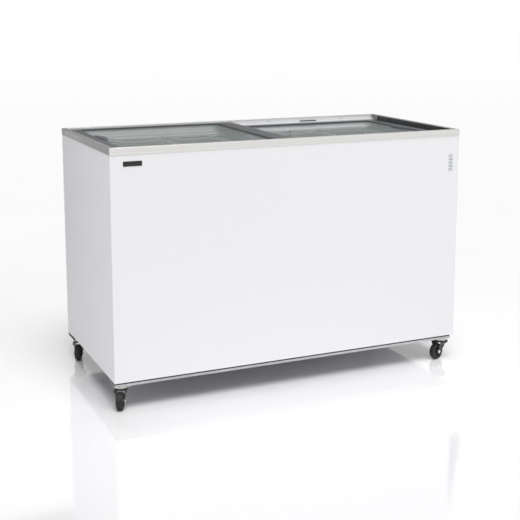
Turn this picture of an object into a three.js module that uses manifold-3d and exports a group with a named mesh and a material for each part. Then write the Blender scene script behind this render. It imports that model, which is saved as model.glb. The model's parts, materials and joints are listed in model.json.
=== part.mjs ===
// Chest freezer with two sliding glass lids, five hanging baskets and four swivel casters.
// Millimetres, +Z up, +X to the viewer's right, front face towards -Y.
// The origin is on the floor, under the middle of the cabinet.
import * as THREE from "three";
import { mergeVertices } from "three/addons/utils/BufferGeometryUtils.js";
import Module from "manifold-3d";

const wasm = await Module();
wasm.setup();

// ---- Overall size -------------------------------------------------------------------------
const WIDTH = 1400; // over the top frame, left to right
const DEPTH = 670; // over the top frame, front to back
const HEIGHT = 926; // floor to the top of the frame
const FIT = 0.3; // clearance between pieces that touch

// ---- Sheet metal cabinet ------------------------------------------------------------------
const SHEET = 0.8; // painted panels
const RETURN = 12; // folded edges of the panels
const WALL = 60; // outer face of the top frame to the inner face of the tank
const FLOOR_FOAM = 58; // insulation under the tank
const PAN_SHEET = 1; // base pan and compressor tray
const PAN_SETBACK = 4; // base pan edge behind the panel face
const RAIL_HEIGHT = 13;
const RAIL_DEPTH = 80;
const RAIL_SHEET = 1.5;
const RAIL_SETBACK = 2.5; // rail web behind the panel face
const RAIL_GAP_LEFT = 1.5; // side panel face to the rail's left end
const RAIL_GAP_RIGHT = 16; // side panel face to the rail's right end

// ---- Top frame, lid tracks and end stops, as distances in from the frame and below its top ---
const FRAME_WALL = 2;
const SKIRT_HEIGHT = 24;
const FLANGE_WIDTH = 20;
const FRAME_CORNER = 6; // radius of the frame's upright corners
const LEDGE_WIDTH = 19; // each lid ledge
const UPPER_LEDGE_DROP = 18;
const LEVEL_STEP = 16; // upper ledge to lower ledge
const SHELF_WIDTH = 10; // basket shelf
const SHELF_DROP = 10; // lower ledge to basket shelf
const TRACK_BASE_DROP = 48; // frame top to the underside of the tracks
const LIP_HEIGHT = 5; // lip that hangs in front of the tank's edge

// ---- Lids ---------------------------------------------------------------------------------
const LID_THICKNESS = 12.5;
const LID_END_GAP = 1;
const LID_SIDE_GAP = 1;
const LID_OVERLAP = 14;
const LID_RAIL = 17; // front and back members
const LID_END_BAR = 40; // outer member, which carries the grip
const LID_CENTRE_BAR = 70; // inner member, over or under the other lid
const LID_CORNER = 26; // radius of the frame's inner corners
const GLASS = 4;
const GLASS_REBATE = 6; // glass edge held in the frame
const GRIP_LENGTH = 150;
const GRIP_REACH = 26; // how far the half-moon reaches over the glass
const GRIP_CLEARANCE = 0.7; // grip to the underside of the lid that passes over it

// ---- Tank, compressor bay and drain ---------------------------------------------------------
const LINER = 1;
const LINER_RIM = 12;
const BAY_LENGTH = 290; // inside the right-hand panel
const BAY_HEIGHT = 270;
const BAY_FOAM = 50; // insulation between bay and tank
const DRAIN_INSET_X = 80; // tank wall to drain
const DRAIN_INSET_Y = 90;
const DRAIN_BORE = 14;
const DRAIN_TUBE_WALL = 2;
const DRAIN_FLANGE = 30;
const DRAIN_FLANGE_SHEET = 1.5;
const PLUG_STEM = 16;
const PLUG_HEAD = 4;
const PLUG_RING_RADIUS = 8;
const PLUG_RING_WIRE = 1.6;

// ---- Baskets ------------------------------------------------------------------------------
const BASKET_COUNT = 5;
const BASKET_HEIGHT = 220;
const BASKET_RIM_DROP = 60; // frame top to the basket's rim
const BASKET_WALL = 3;
const BASKET_PITCH = 232; // the row of baskets starts at the right-hand end
const BASKET_GAP = 6; // between neighbours
const BASKET_SIDE_GAP = 2; // right-hand end stop to the last basket
const BASKET_END_GAP = 3; // lip to basket
const BASKET_LIFT_ROOM = 6.5; // hanger to the lower lid's underside
const HANGER_WIDTH = 14;
const HANGER_INSET = 9; // basket side to hanger middle

// ---- Casters ------------------------------------------------------------------------------
const CASTER_HEIGHT = 88;
const CASTER_INSET = 34; // side panel face to the swivel axis
const WHEEL_RADIUS = 31.5;
const WHEEL_WIDTH = 25;
const WHEEL_GAP = 1.3; // wheel to fork cheek
const AXLE_RADIUS = 4;
const TRAIL = 24;
const FORK_SHEET = 2.5;
const CROWN_HALF_WIDTH = 23;
const PLATE_SIZE = 62;
const PLATE_SHEET = 2.7;
const DISH_RADIUS = 26;
const DISH_HEIGHT = 12;
const SHOULDER_DROP = 9; // crown top to the fork's bent shoulder
const WAIST_RISE = 24; // axle to where the cheeks turn upright
const CHEEK_FOOT = 9; // axle to the cheeks' lower edge
const BOSS_RADIUS = 10; // rounded end of the cheeks
const AXLE_HEAD = 2.6;
const SWIVELS = {
  front_left: { side: -1, face: -1, heading: 246 },
  front_right: { side: 1, face: -1, heading: 200 },
  back_left: { side: -1, face: 1, heading: 246 },
  back_right: { side: 1, face: 1, heading: 66 },
};

// ---- Refrigeration unit and controls ----------------------------------------------------------
const COMPRESSOR_RADIUS = 84;
const COMPRESSOR_HEIGHT = 178;
const COMPRESSOR_Y = 190; // middle of the compressor behind the cabinet's middle
const COMPRESSOR_ASIDE = 8; // and to the right of the bay's middle
const FOOT_HEIGHT = 12;
const CONDENSER_SIZE = [210, 46, 200];
const CONDENSER_Y = -60;
const CONDENSER_END_SHEET = 3;
const CONDENSER_END_REACH = 5; // end plate beyond the fins, front and back
const CONDENSER_FINS = 14;
const FIN_FOOT = 8; // end plate's foot to the fins
const FIN_HEAD = 6; // fins to the end plate's head
const FIN_GROOVE = 8; // width of each groove between fins
const FIN_GROOVE_DEPTH = 6;
const FIN_GROOVE_MARGIN = 6; // groove's end to the fins' foot or head
const FAN_RADIUS = 88;
const FAN_TIP_GAP = 5;
const FAN_HUB_RADIUS = 24;
const FAN_BLADES = 5;
const FAN_SHAFT_RADIUS = 3;
const FAN_HUB_LENGTH = 16;
const FAN_HUB_FRONT = 2; // shroud's front face to the hub
const FAN_PITCH = 22; // degrees
const FAN_PLATE_GAP = 6; // condenser fins to the shroud
const FAN_PLATE_SHEET = 2;
const FAN_ARM = 6; // arms behind the shroud, out from its mouth
const FAN_ARM_WIDTH = 10;
const MOTOR_SETBACK = 22; // shroud's front face to the motor
const MOTOR_RADIUS = 30;
const MOTOR_LENGTH = 44;
const DRIER_RADIUS = 11;
const DRIER_LENGTH = 96;
const DRIER_RISE = 60; // tray to the drier's lower end
const PIPE_RADIUS = 4;
const GRILLE_WIDTH = 178;
const GRILLE_HEIGHT = 214;
const GRILLE_SHEET = 1.2;
const GRILLE_INSET = 16; // partition to the grille's edge
const GRILLE_LOUVRES = 13;
const CONTROL_SIZE = 62; // square cut-out for the thermostat cup
const CONTROL_DEPTH = 24;
const CONTROL_WALL = 2;
const CONTROL_FLANGE = 5;
const CONTROL_FLANGE_SHEET = 1.4;
const CONTROL_BODY_SIZE = 37.2; // switch body behind the cup
const CONTROL_BODY_DEPTH = 30;
const KNOB_RADIUS = 19;
const KNOB_HEIGHT = 15;
const KNOB_SHAFT_RADIUS = 3;
const KNOB_SHAFT_LENGTH = 16;
const KNOB_GAP = 1; // cup floor to the knob
const GLAND_BORE_RADIUS = 4.5;
const GLAND_RADIUS = 8;
const GLAND_FLANGE_RADIUS = 12;
const GLAND_PROUD = 1.8; // bush beyond the panel's face
const GLAND_NUT_RADIUS = 11;
const GLAND_NUT_LENGTH = 8;

// ---- Trim ---------------------------------------------------------------------------------
const BADGE = [67, 17.5, 1.2];
const BADGE_INSET = 46; // side panel face to the badge
const BADGE_DROP = 47; // frame top to the badge's upper edge
const BADGE_CORNER = 1.5;
const THERMOMETER = [11, 1.8, 46];
const THERMOMETER_BASKET = 3; // index of the basket that it hangs behind
const THERMOMETER_ASIDE = -27; // from that basket's middle
const THERMOMETER_DROP = 1; // basket shelf to its upper end

// ---- Places that follow from the sizes ----------------------------------------------------------
const PANEL_INSET = FRAME_WALL + FIT;
const PANEL_X = WIDTH / 2 - PANEL_INSET;
const PANEL_Y = DEPTH / 2 - PANEL_INSET;
const INSIDE_X = PANEL_X - SHEET - FIT;
const INSIDE_Y = PANEL_Y - SHEET - FIT;
const RAIL_BOTTOM = CASTER_HEIGHT + FIT;
const RAIL_TOP = RAIL_BOTTOM + RAIL_HEIGHT;
const PAN_BOTTOM = RAIL_TOP + FIT;
const PANEL_BOTTOM = PAN_BOTTOM + PAN_SHEET + FIT;
const PANEL_TOP = HEIGHT - FRAME_WALL - FIT;
const FOAM_BOTTOM = PANEL_BOTTOM + SHEET + FIT;
const TANK_X = WIDTH / 2 - WALL;
const TANK_Y = DEPTH / 2 - WALL;
const TANK_FLOOR = FOAM_BOTTOM + FLOOR_FOAM;
const TRACK_BASE = HEIGHT - TRACK_BASE_DROP;
const LINER_TOP = TRACK_BASE - FIT;
const FOAM_TOP = LINER_TOP - LINER - FIT;
const BAY_X = PANEL_X - SHEET - BAY_LENGTH;
const BAY_TOP = FOAM_BOTTOM + BAY_HEIGHT;
const STEP_X = BAY_X - BAY_FOAM;
const STEP_TOP = BAY_TOP + BAY_FOAM;
const BAY_MIDDLE = BAY_X + BAY_LENGTH / 2;
const TRAY_TOP = PAN_BOTTOM + PAN_SHEET;
const TRACK_OUTER = PANEL_INSET + SHEET + FIT;
const LOWER_LEDGE_IN = FLANGE_WIDTH + LEDGE_WIDTH;
const SHELF_IN = LOWER_LEDGE_IN + LEDGE_WIDTH;
const TRACK_INNER = SHELF_IN + SHELF_WIDTH;
const LOWER_LEDGE_DROP = UPPER_LEDGE_DROP + LEVEL_STEP;
const BASKET_SHELF_DROP = LOWER_LEDGE_DROP + SHELF_DROP;
const RAIL_MIDDLE_Y = PANEL_Y - RAIL_SETBACK - RAIL_DEPTH / 2;
const DRAIN_X = DRAIN_INSET_X - TANK_X;
const DRAIN_Y = DRAIN_INSET_Y - TANK_Y;
const DRAIN_TUBE_RADIUS = DRAIN_BORE / 2 + DRAIN_TUBE_WALL;

// ---- Solids -------------------------------------------------------------------------------
// A closed three.js geometry as a solid that can be cut and joined.
function solidOf(geometry) {
  const bare = new THREE.BufferGeometry().setAttribute("position", geometry.getAttribute("position"));
  bare.setIndex(geometry.index);
  const merged = mergeVertices(bare, 1e-4);
  const index = merged.index.array;
  const triVerts = [];
  for (let i = 0; i < index.length; i += 3) {
    const [a, b, c] = index.slice(i, i + 3);
    if (a !== b && b !== c && c !== a) triVerts.push(a, b, c);
  }
  return new wasm.Manifold(
    new wasm.Mesh({
      numProp: 3,
      vertProperties: merged.getAttribute("position").array,
      triVerts: new Uint32Array(triVerts),
    }),
  );
}

// A solid back as a geometry with flat faces.
function geometryOf(solid) {
  const mesh = solid.getMesh();
  const positions = new Float32Array(mesh.numVert * 3);
  for (let i = 0; i < mesh.numVert; i++) {
    positions.set(mesh.vertProperties.subarray(i * mesh.numProp, i * mesh.numProp + 3), i * 3);
  }
  const indexed = new THREE.BufferGeometry()
    .setAttribute("position", new THREE.BufferAttribute(positions, 3))
    .setIndex(new THREE.BufferAttribute(mesh.triVerts, 1));
  const geometry = indexed.toNonIndexed();
  geometry.computeVertexNormals();
  return geometry;
}

const joined = (...solids) => solids.reduce((all, one) => all.add(one));
const cut = (solid, ...tools) => tools.reduce((left, tool) => left.subtract(tool), solid);

// A box between two corners.
function block([x0, y0, z0], [x1, y1, z1]) {
  const geometry = new THREE.BoxGeometry(x1 - x0, y1 - y0, z1 - z0);
  geometry.translate((x0 + x1) / 2, (y0 + y1) / 2, (z0 + z1) / 2);
  return solidOf(geometry);
}

// A box that is centred on X and Y.
const centredBlock = (halfX, halfY, z0, z1) => block([-halfX, -halfY, z0], [halfX, halfY, z1]);

// An outline in the XY plane, extruded along Z from z0 to z1.
function slab(outline, z0, z1, curveSegments = 6) {
  const drawn = outline instanceof THREE.Shape;
  const shape = drawn ? outline : new THREE.Shape(outline.map(([x, y]) => new THREE.Vector2(x, y)));
  const geometry = new THREE.ExtrudeGeometry(shape, { depth: z1 - z0, bevelEnabled: false, curveSegments });
  geometry.translate(0, 0, z0);
  return solidOf(geometry);
}

// An outline of [x, z] points, extruded along Y.
function alongY(outline, y0, y1) {
  const shape = new THREE.Shape(outline.map(([x, z]) => new THREE.Vector2(x, z)));
  const geometry = new THREE.ExtrudeGeometry(shape, { depth: y1 - y0, bevelEnabled: false });
  geometry.rotateX(Math.PI / 2);
  geometry.translate(0, y1, 0);
  return solidOf(geometry);
}

// An outline of [y, z] points, extruded along X.
function alongX(outline, x0, x1) {
  const shape = new THREE.Shape(outline.map(([y, z]) => new THREE.Vector2(y, z)));
  const geometry = new THREE.ExtrudeGeometry(shape, { depth: x1 - x0, bevelEnabled: false });
  geometry.rotateY(Math.PI / 2);
  geometry.rotateX(Math.PI / 2);
  geometry.translate(x0, 0, 0);
  return solidOf(geometry);
}

// A rectangle with rounded corners, centred on the origin.
function roundedRectangle(halfX, halfY, radius) {
  const shape = new THREE.Shape();
  shape.moveTo(-halfX + radius, -halfY);
  shape.lineTo(halfX - radius, -halfY);
  shape.absarc(halfX - radius, -halfY + radius, radius, -Math.PI / 2, 0);
  shape.lineTo(halfX, halfY - radius);
  shape.absarc(halfX - radius, halfY - radius, radius, 0, Math.PI / 2);
  shape.lineTo(-halfX + radius, halfY);
  shape.absarc(-halfX + radius, halfY - radius, radius, Math.PI / 2, Math.PI);
  shape.lineTo(-halfX, -halfY + radius);
  shape.absarc(-halfX + radius, -halfY + radius, radius, Math.PI, Math.PI * 1.5);
  return shape;
}

// A turned solid about +Z, from [radius, z] points that start and end on the axis.
function turned(profile, segments = 24) {
  const geometry = new THREE.LatheGeometry(profile.map(([r, z]) => new THREE.Vector2(r, z)), segments);
  geometry.rotateX(Math.PI / 2);
  const solid = solidOf(geometry);
  if (solid.volume() > 0) return solid;
  return turned([...profile].reverse(), segments);
}

function rod(radius, z0, z1, segments = 24) {
  return turned([[0, z0], [radius, z0], [radius, z1], [0, z1]], segments);
}

const placed = (solid, x, y, z) => solid.translate([x, y, z]);
const facingBack = (solid) => solid.rotate([-90, 0, 0]); // turns +Z to +Y

// ---- Finishes -----------------------------------------------------------------------------
const finish = (color, roughness, metalness = 0, opacity = 1) =>
  new THREE.MeshStandardMaterial({ color, roughness, metalness, opacity, transparent: opacity < 1 });
const FINISHES = {
  paint: finish(0xf0f0f1, 0.35),
  frame: finish(0xc9c7c3, 0.38, 0.85),
  track: finish(0xd6d7d8, 0.45),
  darkPlastic: finish(0x3f4144, 0.5),
  lidPlastic: finish(0x55575a, 0.45),
  gripPlastic: finish(0x6a6c70, 0.4),
  glass: finish(0xcfdcd8, 0.05, 0, 0.3),
  liner: finish(0xc4c5c6, 0.42, 0.8),
  foam: finish(0xe6d9b0, 0.9),
  wire: finish(0xd8d9da, 0.4, 0.3),
  zinc: finish(0xbab8b2, 0.38, 0.9),
  blackSteel: finish(0x161617, 0.45),
  copper: finish(0xb06a42, 0.35, 0.9),
  fins: finish(0xa9abad, 0.5, 0.8),
  tyre: finish(0x232324, 0.75),
  badge: finish(0x151515, 0.3),
  whitePlastic: finish(0xe2e3e4, 0.4),
};

const freezer = new THREE.Group();

// Adds one named piece to a group.
function addPiece(name, solid, material, group = freezer) {
  const mesh = new THREE.Mesh(geometryOf(solid), material);
  mesh.name = name;
  group.add(mesh);
}

// ---- Outer panels -------------------------------------------------------------------------
function frontPanel() {
  const sheet = block([-PANEL_X, -PANEL_Y, PANEL_BOTTOM], [PANEL_X, -PANEL_Y + SHEET, PANEL_TOP]);
  const bottomReturn = block(
    [-PANEL_X, -PANEL_Y, PANEL_BOTTOM],
    [PANEL_X, -PANEL_Y + RETURN, PANEL_BOTTOM + SHEET],
  );
  const sideReturn = (x0) => block([x0, -PANEL_Y, PANEL_BOTTOM], [x0 + SHEET, -PANEL_Y + RETURN, PANEL_TOP]);
  return joined(sheet, bottomReturn, sideReturn(-PANEL_X), sideReturn(PANEL_X - SHEET));
}

function sidePanel(side) {
  const front = -PANEL_Y + RETURN + FIT;
  const outline = [
    [PANEL_X, PANEL_TOP],
    [PANEL_X - SHEET, PANEL_TOP],
    [PANEL_X - SHEET, PANEL_BOTTOM + SHEET],
    [PANEL_X - RETURN, PANEL_BOTTOM + SHEET],
    [PANEL_X - RETURN, PANEL_BOTTOM],
    [PANEL_X, PANEL_BOTTOM],
  ];
  const right = alongY(outline, front, PANEL_Y);
  return side > 0 ? right : right.mirror([1, 0, 0]);
}

const grilleX = BAY_X + GRILLE_WIDTH / 2 + GRILLE_INSET;
const grilleZ = FOAM_BOTTOM + BAY_HEIGHT / 2;
const controlX = (grilleX + GRILLE_WIDTH / 2 + INSIDE_X) / 2;
const controlZ = grilleZ + GRILLE_HEIGHT / 2 - CONTROL_SIZE / 2;
const glandZ = grilleZ - GRILLE_HEIGHT / 4;

function backPanel() {
  const halfX = PANEL_X - SHEET - FIT;
  const sheet = block([-halfX, PANEL_Y - SHEET, FOAM_BOTTOM], [halfX, PANEL_Y, PANEL_TOP]);
  const through = [PANEL_Y - RETURN, PANEL_Y + RETURN];
  const window = (x, z, width, height) =>
    block([x - width / 2, through[0], z - height / 2], [x + width / 2, through[1], z + height / 2]);
  const glandHole = placed(
    facingBack(rod(GLAND_RADIUS + FIT, -RETURN, RETURN)), controlX, PANEL_Y, glandZ,
  );
  return cut(
    sheet,
    window(grilleX, grilleZ, GRILLE_WIDTH - 2 * RETURN, GRILLE_HEIGHT - 2 * RETURN),
    window(controlX, controlZ, CONTROL_SIZE + 2 * FIT, CONTROL_SIZE + 2 * FIT),
    glandHole,
  );
}

// A flat cover with a row of level slots.
function rearGrille() {
  const y0 = PANEL_Y + FIT;
  const plate = block(
    [grilleX - GRILLE_WIDTH / 2, y0, grilleZ - GRILLE_HEIGHT / 2],
    [grilleX + GRILLE_WIDTH / 2, y0 + GRILLE_SHEET, grilleZ + GRILLE_HEIGHT / 2],
  );
  const pitch = (GRILLE_HEIGHT - 2 * RETURN) / GRILLE_LOUVRES;
  const slots = [];
  for (let i = 0; i < GRILLE_LOUVRES; i++) {
    const z = grilleZ - GRILLE_HEIGHT / 2 + RETURN + pitch * (i + 0.5);
    const halfSlot = pitch * 0.28;
    const halfWidth = GRILLE_WIDTH / 2 - 1.4 * RETURN;
    slots.push(
      block(
        [grilleX - halfWidth, y0 - FIT, z - halfSlot],
        [grilleX + halfWidth, y0 + GRILLE_SHEET + FIT, z + halfSlot],
      ),
    );
  }
  return cut(plate, ...slots);
}

// ---- Base ---------------------------------------------------------------------------------
function basePan() {
  const half = PANEL_Y - PAN_SETBACK;
  const top = PAN_BOTTOM + PAN_SHEET;
  const sheet = block([-PANEL_X + PAN_SETBACK, -half, PAN_BOTTOM], [BAY_X - FIT, half, top]);
  const hole = rod(DRAIN_TUBE_RADIUS + FIT, PAN_BOTTOM - 1, top + 1);
  return cut(sheet, placed(hole, DRAIN_X, DRAIN_Y, 0));
}

// Sheet under the compressor bay, with cooling slots between the rails.
function compressorTray() {
  const half = PANEL_Y - PAN_SETBACK;
  const x1 = PANEL_X - PAN_SETBACK;
  const sheet = block([BAY_X, -half, PAN_BOTTOM], [x1, half, PAN_BOTTOM + PAN_SHEET]);
  const slotCount = 4;
  const slotHalfLength = 60;
  const slotHalfWidth = 6;
  const slotPitch = 30;
  const firstSlotY = CONDENSER_Y - 40 - slotCount * slotPitch;
  const slots = [];
  for (let i = 0; i < slotCount; i++) {
    const y = firstSlotY + i * slotPitch;
    slots.push(
      block(
        [BAY_MIDDLE - slotHalfLength, y - slotHalfWidth, PAN_BOTTOM - 1],
        [BAY_MIDDLE + slotHalfLength, y + slotHalfWidth, PAN_BOTTOM + PAN_SHEET + 1],
      ),
    );
  }
  return cut(sheet, ...slots);
}

// A channel that opens towards the cabinet's middle and carries two casters.
function baseRail(face) {
  const outer = -PANEL_Y + RAIL_SETBACK;
  const inner = outer + RAIL_DEPTH;
  const outline = [
    [outer, RAIL_BOTTOM],
    [inner, RAIL_BOTTOM],
    [inner, RAIL_BOTTOM + RAIL_SHEET],
    [outer + RAIL_SHEET, RAIL_BOTTOM + RAIL_SHEET],
    [outer + RAIL_SHEET, RAIL_TOP - RAIL_SHEET],
    [inner, RAIL_TOP - RAIL_SHEET],
    [inner, RAIL_TOP],
    [outer, RAIL_TOP],
  ];
  const front = alongX(outline, -PANEL_X + RAIL_GAP_LEFT, PANEL_X - RAIL_GAP_RIGHT);
  return face < 0 ? front : front.mirror([0, 1, 0]);
}

// Bent sheet between the foam and the compressor bay.
function bayPartition() {
  const outline = [
    [BAY_X - SHEET, FOAM_BOTTOM],
    [BAY_X, FOAM_BOTTOM],
    [BAY_X, BAY_TOP],
    [INSIDE_X, BAY_TOP],
    [INSIDE_X, BAY_TOP + SHEET],
    [BAY_X - SHEET, BAY_TOP + SHEET],
  ];
  return alongY(outline, -INSIDE_Y, INSIDE_Y);
}

// ---- Tank and insulation --------------------------------------------------------------------
// Side view of the tank with its step over the compressor bay, grown by a margin.
function tankOutline(margin, top) {
  return [
    [-TANK_X - margin, TANK_FLOOR - margin],
    [STEP_X + margin, TANK_FLOOR - margin],
    [STEP_X + margin, STEP_TOP - margin],
    [TANK_X + margin, STEP_TOP - margin],
    [TANK_X + margin, top],
    [-TANK_X - margin, top],
  ];
}

function innerLiner() {
  const shell = alongY(tankOutline(LINER, LINER_TOP), -TANK_Y - LINER, TANK_Y + LINER);
  const reach = LINER + LINER_RIM;
  const rim = centredBlock(TANK_X + reach, TANK_Y + reach, LINER_TOP - LINER, LINER_TOP);
  const hollow = alongY(tankOutline(0, LINER_TOP + 1), -TANK_Y, TANK_Y);
  const drain = placed(rod(DRAIN_BORE / 2, TANK_FLOOR - LINER - 1, TANK_FLOOR + 1), DRAIN_X, DRAIN_Y, 0);
  return cut(joined(shell, rim), hollow, drain);
}

const drainFlangeTop = TANK_FLOOR - LINER - FIT;

function insulationFoam() {
  const margin = LINER + FIT;
  const full = centredBlock(INSIDE_X, INSIDE_Y, FOAM_BOTTOM, FOAM_TOP);
  const hollow = alongY(tankOutline(margin, FOAM_TOP + 1), -TANK_Y - margin, TANK_Y + margin);
  const bay = block(
    [BAY_X - SHEET - FIT, -DEPTH, FOAM_BOTTOM - 1],
    [WIDTH, DEPTH, BAY_TOP + SHEET + FIT],
  );
  const tubeHole = rod(DRAIN_TUBE_RADIUS + FIT, FOAM_BOTTOM - 1, TANK_FLOOR);
  const flangeSeat = rod(DRAIN_FLANGE / 2 + FIT, drainFlangeTop - DRAIN_FLANGE_SHEET - FIT, TANK_FLOOR);
  return cut(full, hollow, bay, placed(joined(tubeHole, flangeSeat), DRAIN_X, DRAIN_Y, 0));
}

function drainTube() {
  const bottom = RAIL_BOTTOM + RAIL_SHEET;
  const tube = rod(DRAIN_TUBE_RADIUS, bottom, drainFlangeTop);
  const flange = rod(DRAIN_FLANGE / 2, drainFlangeTop - DRAIN_FLANGE_SHEET, drainFlangeTop);
  const bore = rod(DRAIN_BORE / 2, bottom - 1, drainFlangeTop + 1);
  return placed(cut(joined(tube, flange), bore), DRAIN_X, DRAIN_Y, 0);
}

function drainPlug() {
  const headBottom = TANK_FLOOR + FIT;
  const stemRadius = DRAIN_BORE / 2 - FIT;
  const body = turned([
    [0, headBottom - PLUG_STEM],
    [stemRadius - 1, headBottom - PLUG_STEM],
    [stemRadius, headBottom - PLUG_STEM + 2],
    [stemRadius, headBottom],
    [DRAIN_BORE, headBottom],
    [DRAIN_BORE, headBottom + PLUG_HEAD - 1],
    [DRAIN_BORE - 1, headBottom + PLUG_HEAD],
    [0, headBottom + PLUG_HEAD],
  ]);
  const torus = new THREE.TorusGeometry(PLUG_RING_RADIUS, PLUG_RING_WIRE, 6, 16);
  const ring = solidOf(torus.rotateX(Math.PI / 2));
  const ringMiddle = headBottom + PLUG_HEAD + PLUG_RING_RADIUS + PLUG_RING_WIRE / 2 - 1;
  const pull = placed(ring, 0, 0, ringMiddle);
  return placed(joined(body, pull), DRAIN_X, DRAIN_Y, 0);
}

// ---- Top frame ----------------------------------------------------------------------------
const at = (drop) => HEIGHT - drop;

function topFrameRing() {
  const outline = roundedRectangle(WIDTH / 2, DEPTH / 2, FRAME_CORNER);
  const full = slab(outline, at(SKIRT_HEIGHT), HEIGHT);
  const halfX = WIDTH / 2 - FRAME_WALL;
  const halfY = DEPTH / 2 - FRAME_WALL;
  const inside = centredBlock(halfX, halfY, at(SKIRT_HEIGHT) - 1, at(FRAME_WALL));
  const mouthX = WIDTH / 2 - FLANGE_WIDTH;
  const mouthY = DEPTH / 2 - FLANGE_WIDTH;
  const mouth = centredBlock(mouthX, mouthY, at(SKIRT_HEIGHT) - 1, HEIGHT + 1);
  return cut(full, inside, mouth);
}

// The part of the ring that lies along one edge, mitred at both ends.
function topFrameSide(ring, halfLength, halfAcross, turn) {
  const beyond = 10;
  const reach = 3 * FLANGE_WIDTH;
  const gap = FIT * Math.SQRT1_2;
  const wedge = slab(
    [
      [-halfLength - beyond + gap, -halfAcross - beyond],
      [halfLength + beyond - gap, -halfAcross - beyond],
      [halfLength - reach - gap, -halfAcross + reach],
      [-halfLength + reach + gap, -halfAcross + reach],
    ],
    at(SKIRT_HEIGHT) - 1,
    HEIGHT + 1,
  );
  return ring.intersect(wedge.rotate([0, 0, turn]));
}

// ---- Lid tracks and end stops ------------------------------------------------------------------
// Front track in section: shoulder under the flange, two lid ledges and the basket shelf.
function lidTrack(face) {
  const y = (distance) => -DEPTH / 2 + distance;
  const outline = [
    [y(TRACK_OUTER), TRACK_BASE],
    [y(TRACK_INNER), TRACK_BASE],
    [y(TRACK_INNER), at(BASKET_SHELF_DROP)],
    [y(SHELF_IN), at(BASKET_SHELF_DROP)],
    [y(SHELF_IN), at(LOWER_LEDGE_DROP)],
    [y(LOWER_LEDGE_IN), at(LOWER_LEDGE_DROP)],
    [y(LOWER_LEDGE_IN), at(UPPER_LEDGE_DROP)],
    [y(FLANGE_WIDTH), at(UPPER_LEDGE_DROP)],
    [y(FLANGE_WIDTH), PANEL_TOP],
    [y(TRACK_OUTER), PANEL_TOP],
  ];
  const halfLength = WIDTH / 2 - TRACK_OUTER;
  const lipHalfLength = TANK_X - FIT;
  const lip = block(
    [-lipHalfLength, y(WALL + FIT), TRACK_BASE - LIP_HEIGHT],
    [lipHalfLength, y(TRACK_INNER), TRACK_BASE + 1],
  );
  const front = joined(alongX(outline, -halfLength, halfLength), lip);
  return face < 0 ? front : front.mirror([0, 1, 0]);
}

// The end walls that the lids shut against, fitted between the two tracks.
function endStop(side) {
  const x = (distance) => WIDTH / 2 - distance;
  const halfLength = DEPTH / 2 - TRACK_INNER - FIT;
  const outline = [
    [x(TRACK_INNER), TRACK_BASE],
    [x(TRACK_OUTER), TRACK_BASE],
    [x(TRACK_OUTER), PANEL_TOP],
    [x(FLANGE_WIDTH), PANEL_TOP],
    [x(FLANGE_WIDTH), at(LOWER_LEDGE_DROP)],
    [x(SHELF_IN), at(LOWER_LEDGE_DROP)],
    [x(SHELF_IN), at(BASKET_SHELF_DROP)],
    [x(TRACK_INNER), at(BASKET_SHELF_DROP)],
  ];
  const lip = block(
    [x(TRACK_INNER), -halfLength, TRACK_BASE - LIP_HEIGHT],
    [x(WALL + FIT), halfLength, TRACK_BASE + 1],
  );
  const right = joined(alongY(outline, -halfLength, halfLength), lip);
  return side > 0 ? right : right.mirror([1, 0, 0]);
}

// ---- Lids ---------------------------------------------------------------------------------
const lidRun = WIDTH - 2 * (FLANGE_WIDTH + LID_END_GAP);
const lidLength = (lidRun + LID_OVERLAP) / 2;

// Both lids are drawn as the left one: outer end at x0, inner end at x0 + lidLength.
const LIDS = {
  left: { side: -1, ledgeIn: FLANGE_WIDTH, ledgeDrop: UPPER_LEDGE_DROP },
  right: { side: 1, ledgeIn: LOWER_LEDGE_IN, ledgeDrop: LOWER_LEDGE_DROP },
};

function lidPlaces({ ledgeIn, ledgeDrop }) {
  const x0 = -lidRun / 2;
  const halfWidth = DEPTH / 2 - ledgeIn - LID_SIDE_GAP;
  const bottom = at(ledgeDrop) + FIT;
  return {
    x0,
    x1: x0 + lidLength,
    halfWidth,
    bottom,
    top: bottom + LID_THICKNESS,
    glassBottom: bottom + (LID_THICKNESS - GLASS) / 2,
    windowX: [x0 + LID_END_BAR, x0 + lidLength - LID_CENTRE_BAR],
    windowHalfY: halfWidth - LID_RAIL,
  };
}

// A half-moon outline that bulges towards +X from a straight edge at x.
function halfMoon(x, reach, length) {
  const radius = (reach * reach + (length * length) / 4) / (2 * reach);
  const angle = Math.asin(length / 2 / radius);
  const shape = new THREE.Shape();
  shape.moveTo(x, -length / 2);
  shape.absarc(x + reach - radius, 0, radius, -angle, angle);
  shape.lineTo(x, length / 2);
  return shape;
}

function lidFrame(kind) {
  const lid = lidPlaces(kind);
  const body = block([lid.x0, -lid.halfWidth, lid.bottom], [lid.x1, lid.halfWidth, lid.top]);
  const [w0, w1] = lid.windowX;
  const window = slab(
    roundedRectangle((w1 - w0) / 2, lid.windowHalfY, LID_CORNER),
    lid.bottom - 1,
    lid.top + 1,
  ).translate([(w0 + w1) / 2, 0, 0]);
  const rebate = block(
    [w0 - GLASS_REBATE - FIT, -lid.windowHalfY - GLASS_REBATE - FIT, lid.glassBottom - FIT],
    [w1 + GLASS_REBATE + FIT, lid.windowHalfY + GLASS_REBATE + FIT, lid.glassBottom + GLASS + FIT],
  );
  return cut(body, window, rebate);
}

function lidGlass(kind) {
  const lid = lidPlaces(kind);
  const [w0, w1] = lid.windowX;
  return block(
    [w0 - GLASS_REBATE, -lid.windowHalfY - GLASS_REBATE, lid.glassBottom],
    [w1 + GLASS_REBATE, lid.windowHalfY + GLASS_REBATE, lid.glassBottom + GLASS],
  );
}

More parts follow.
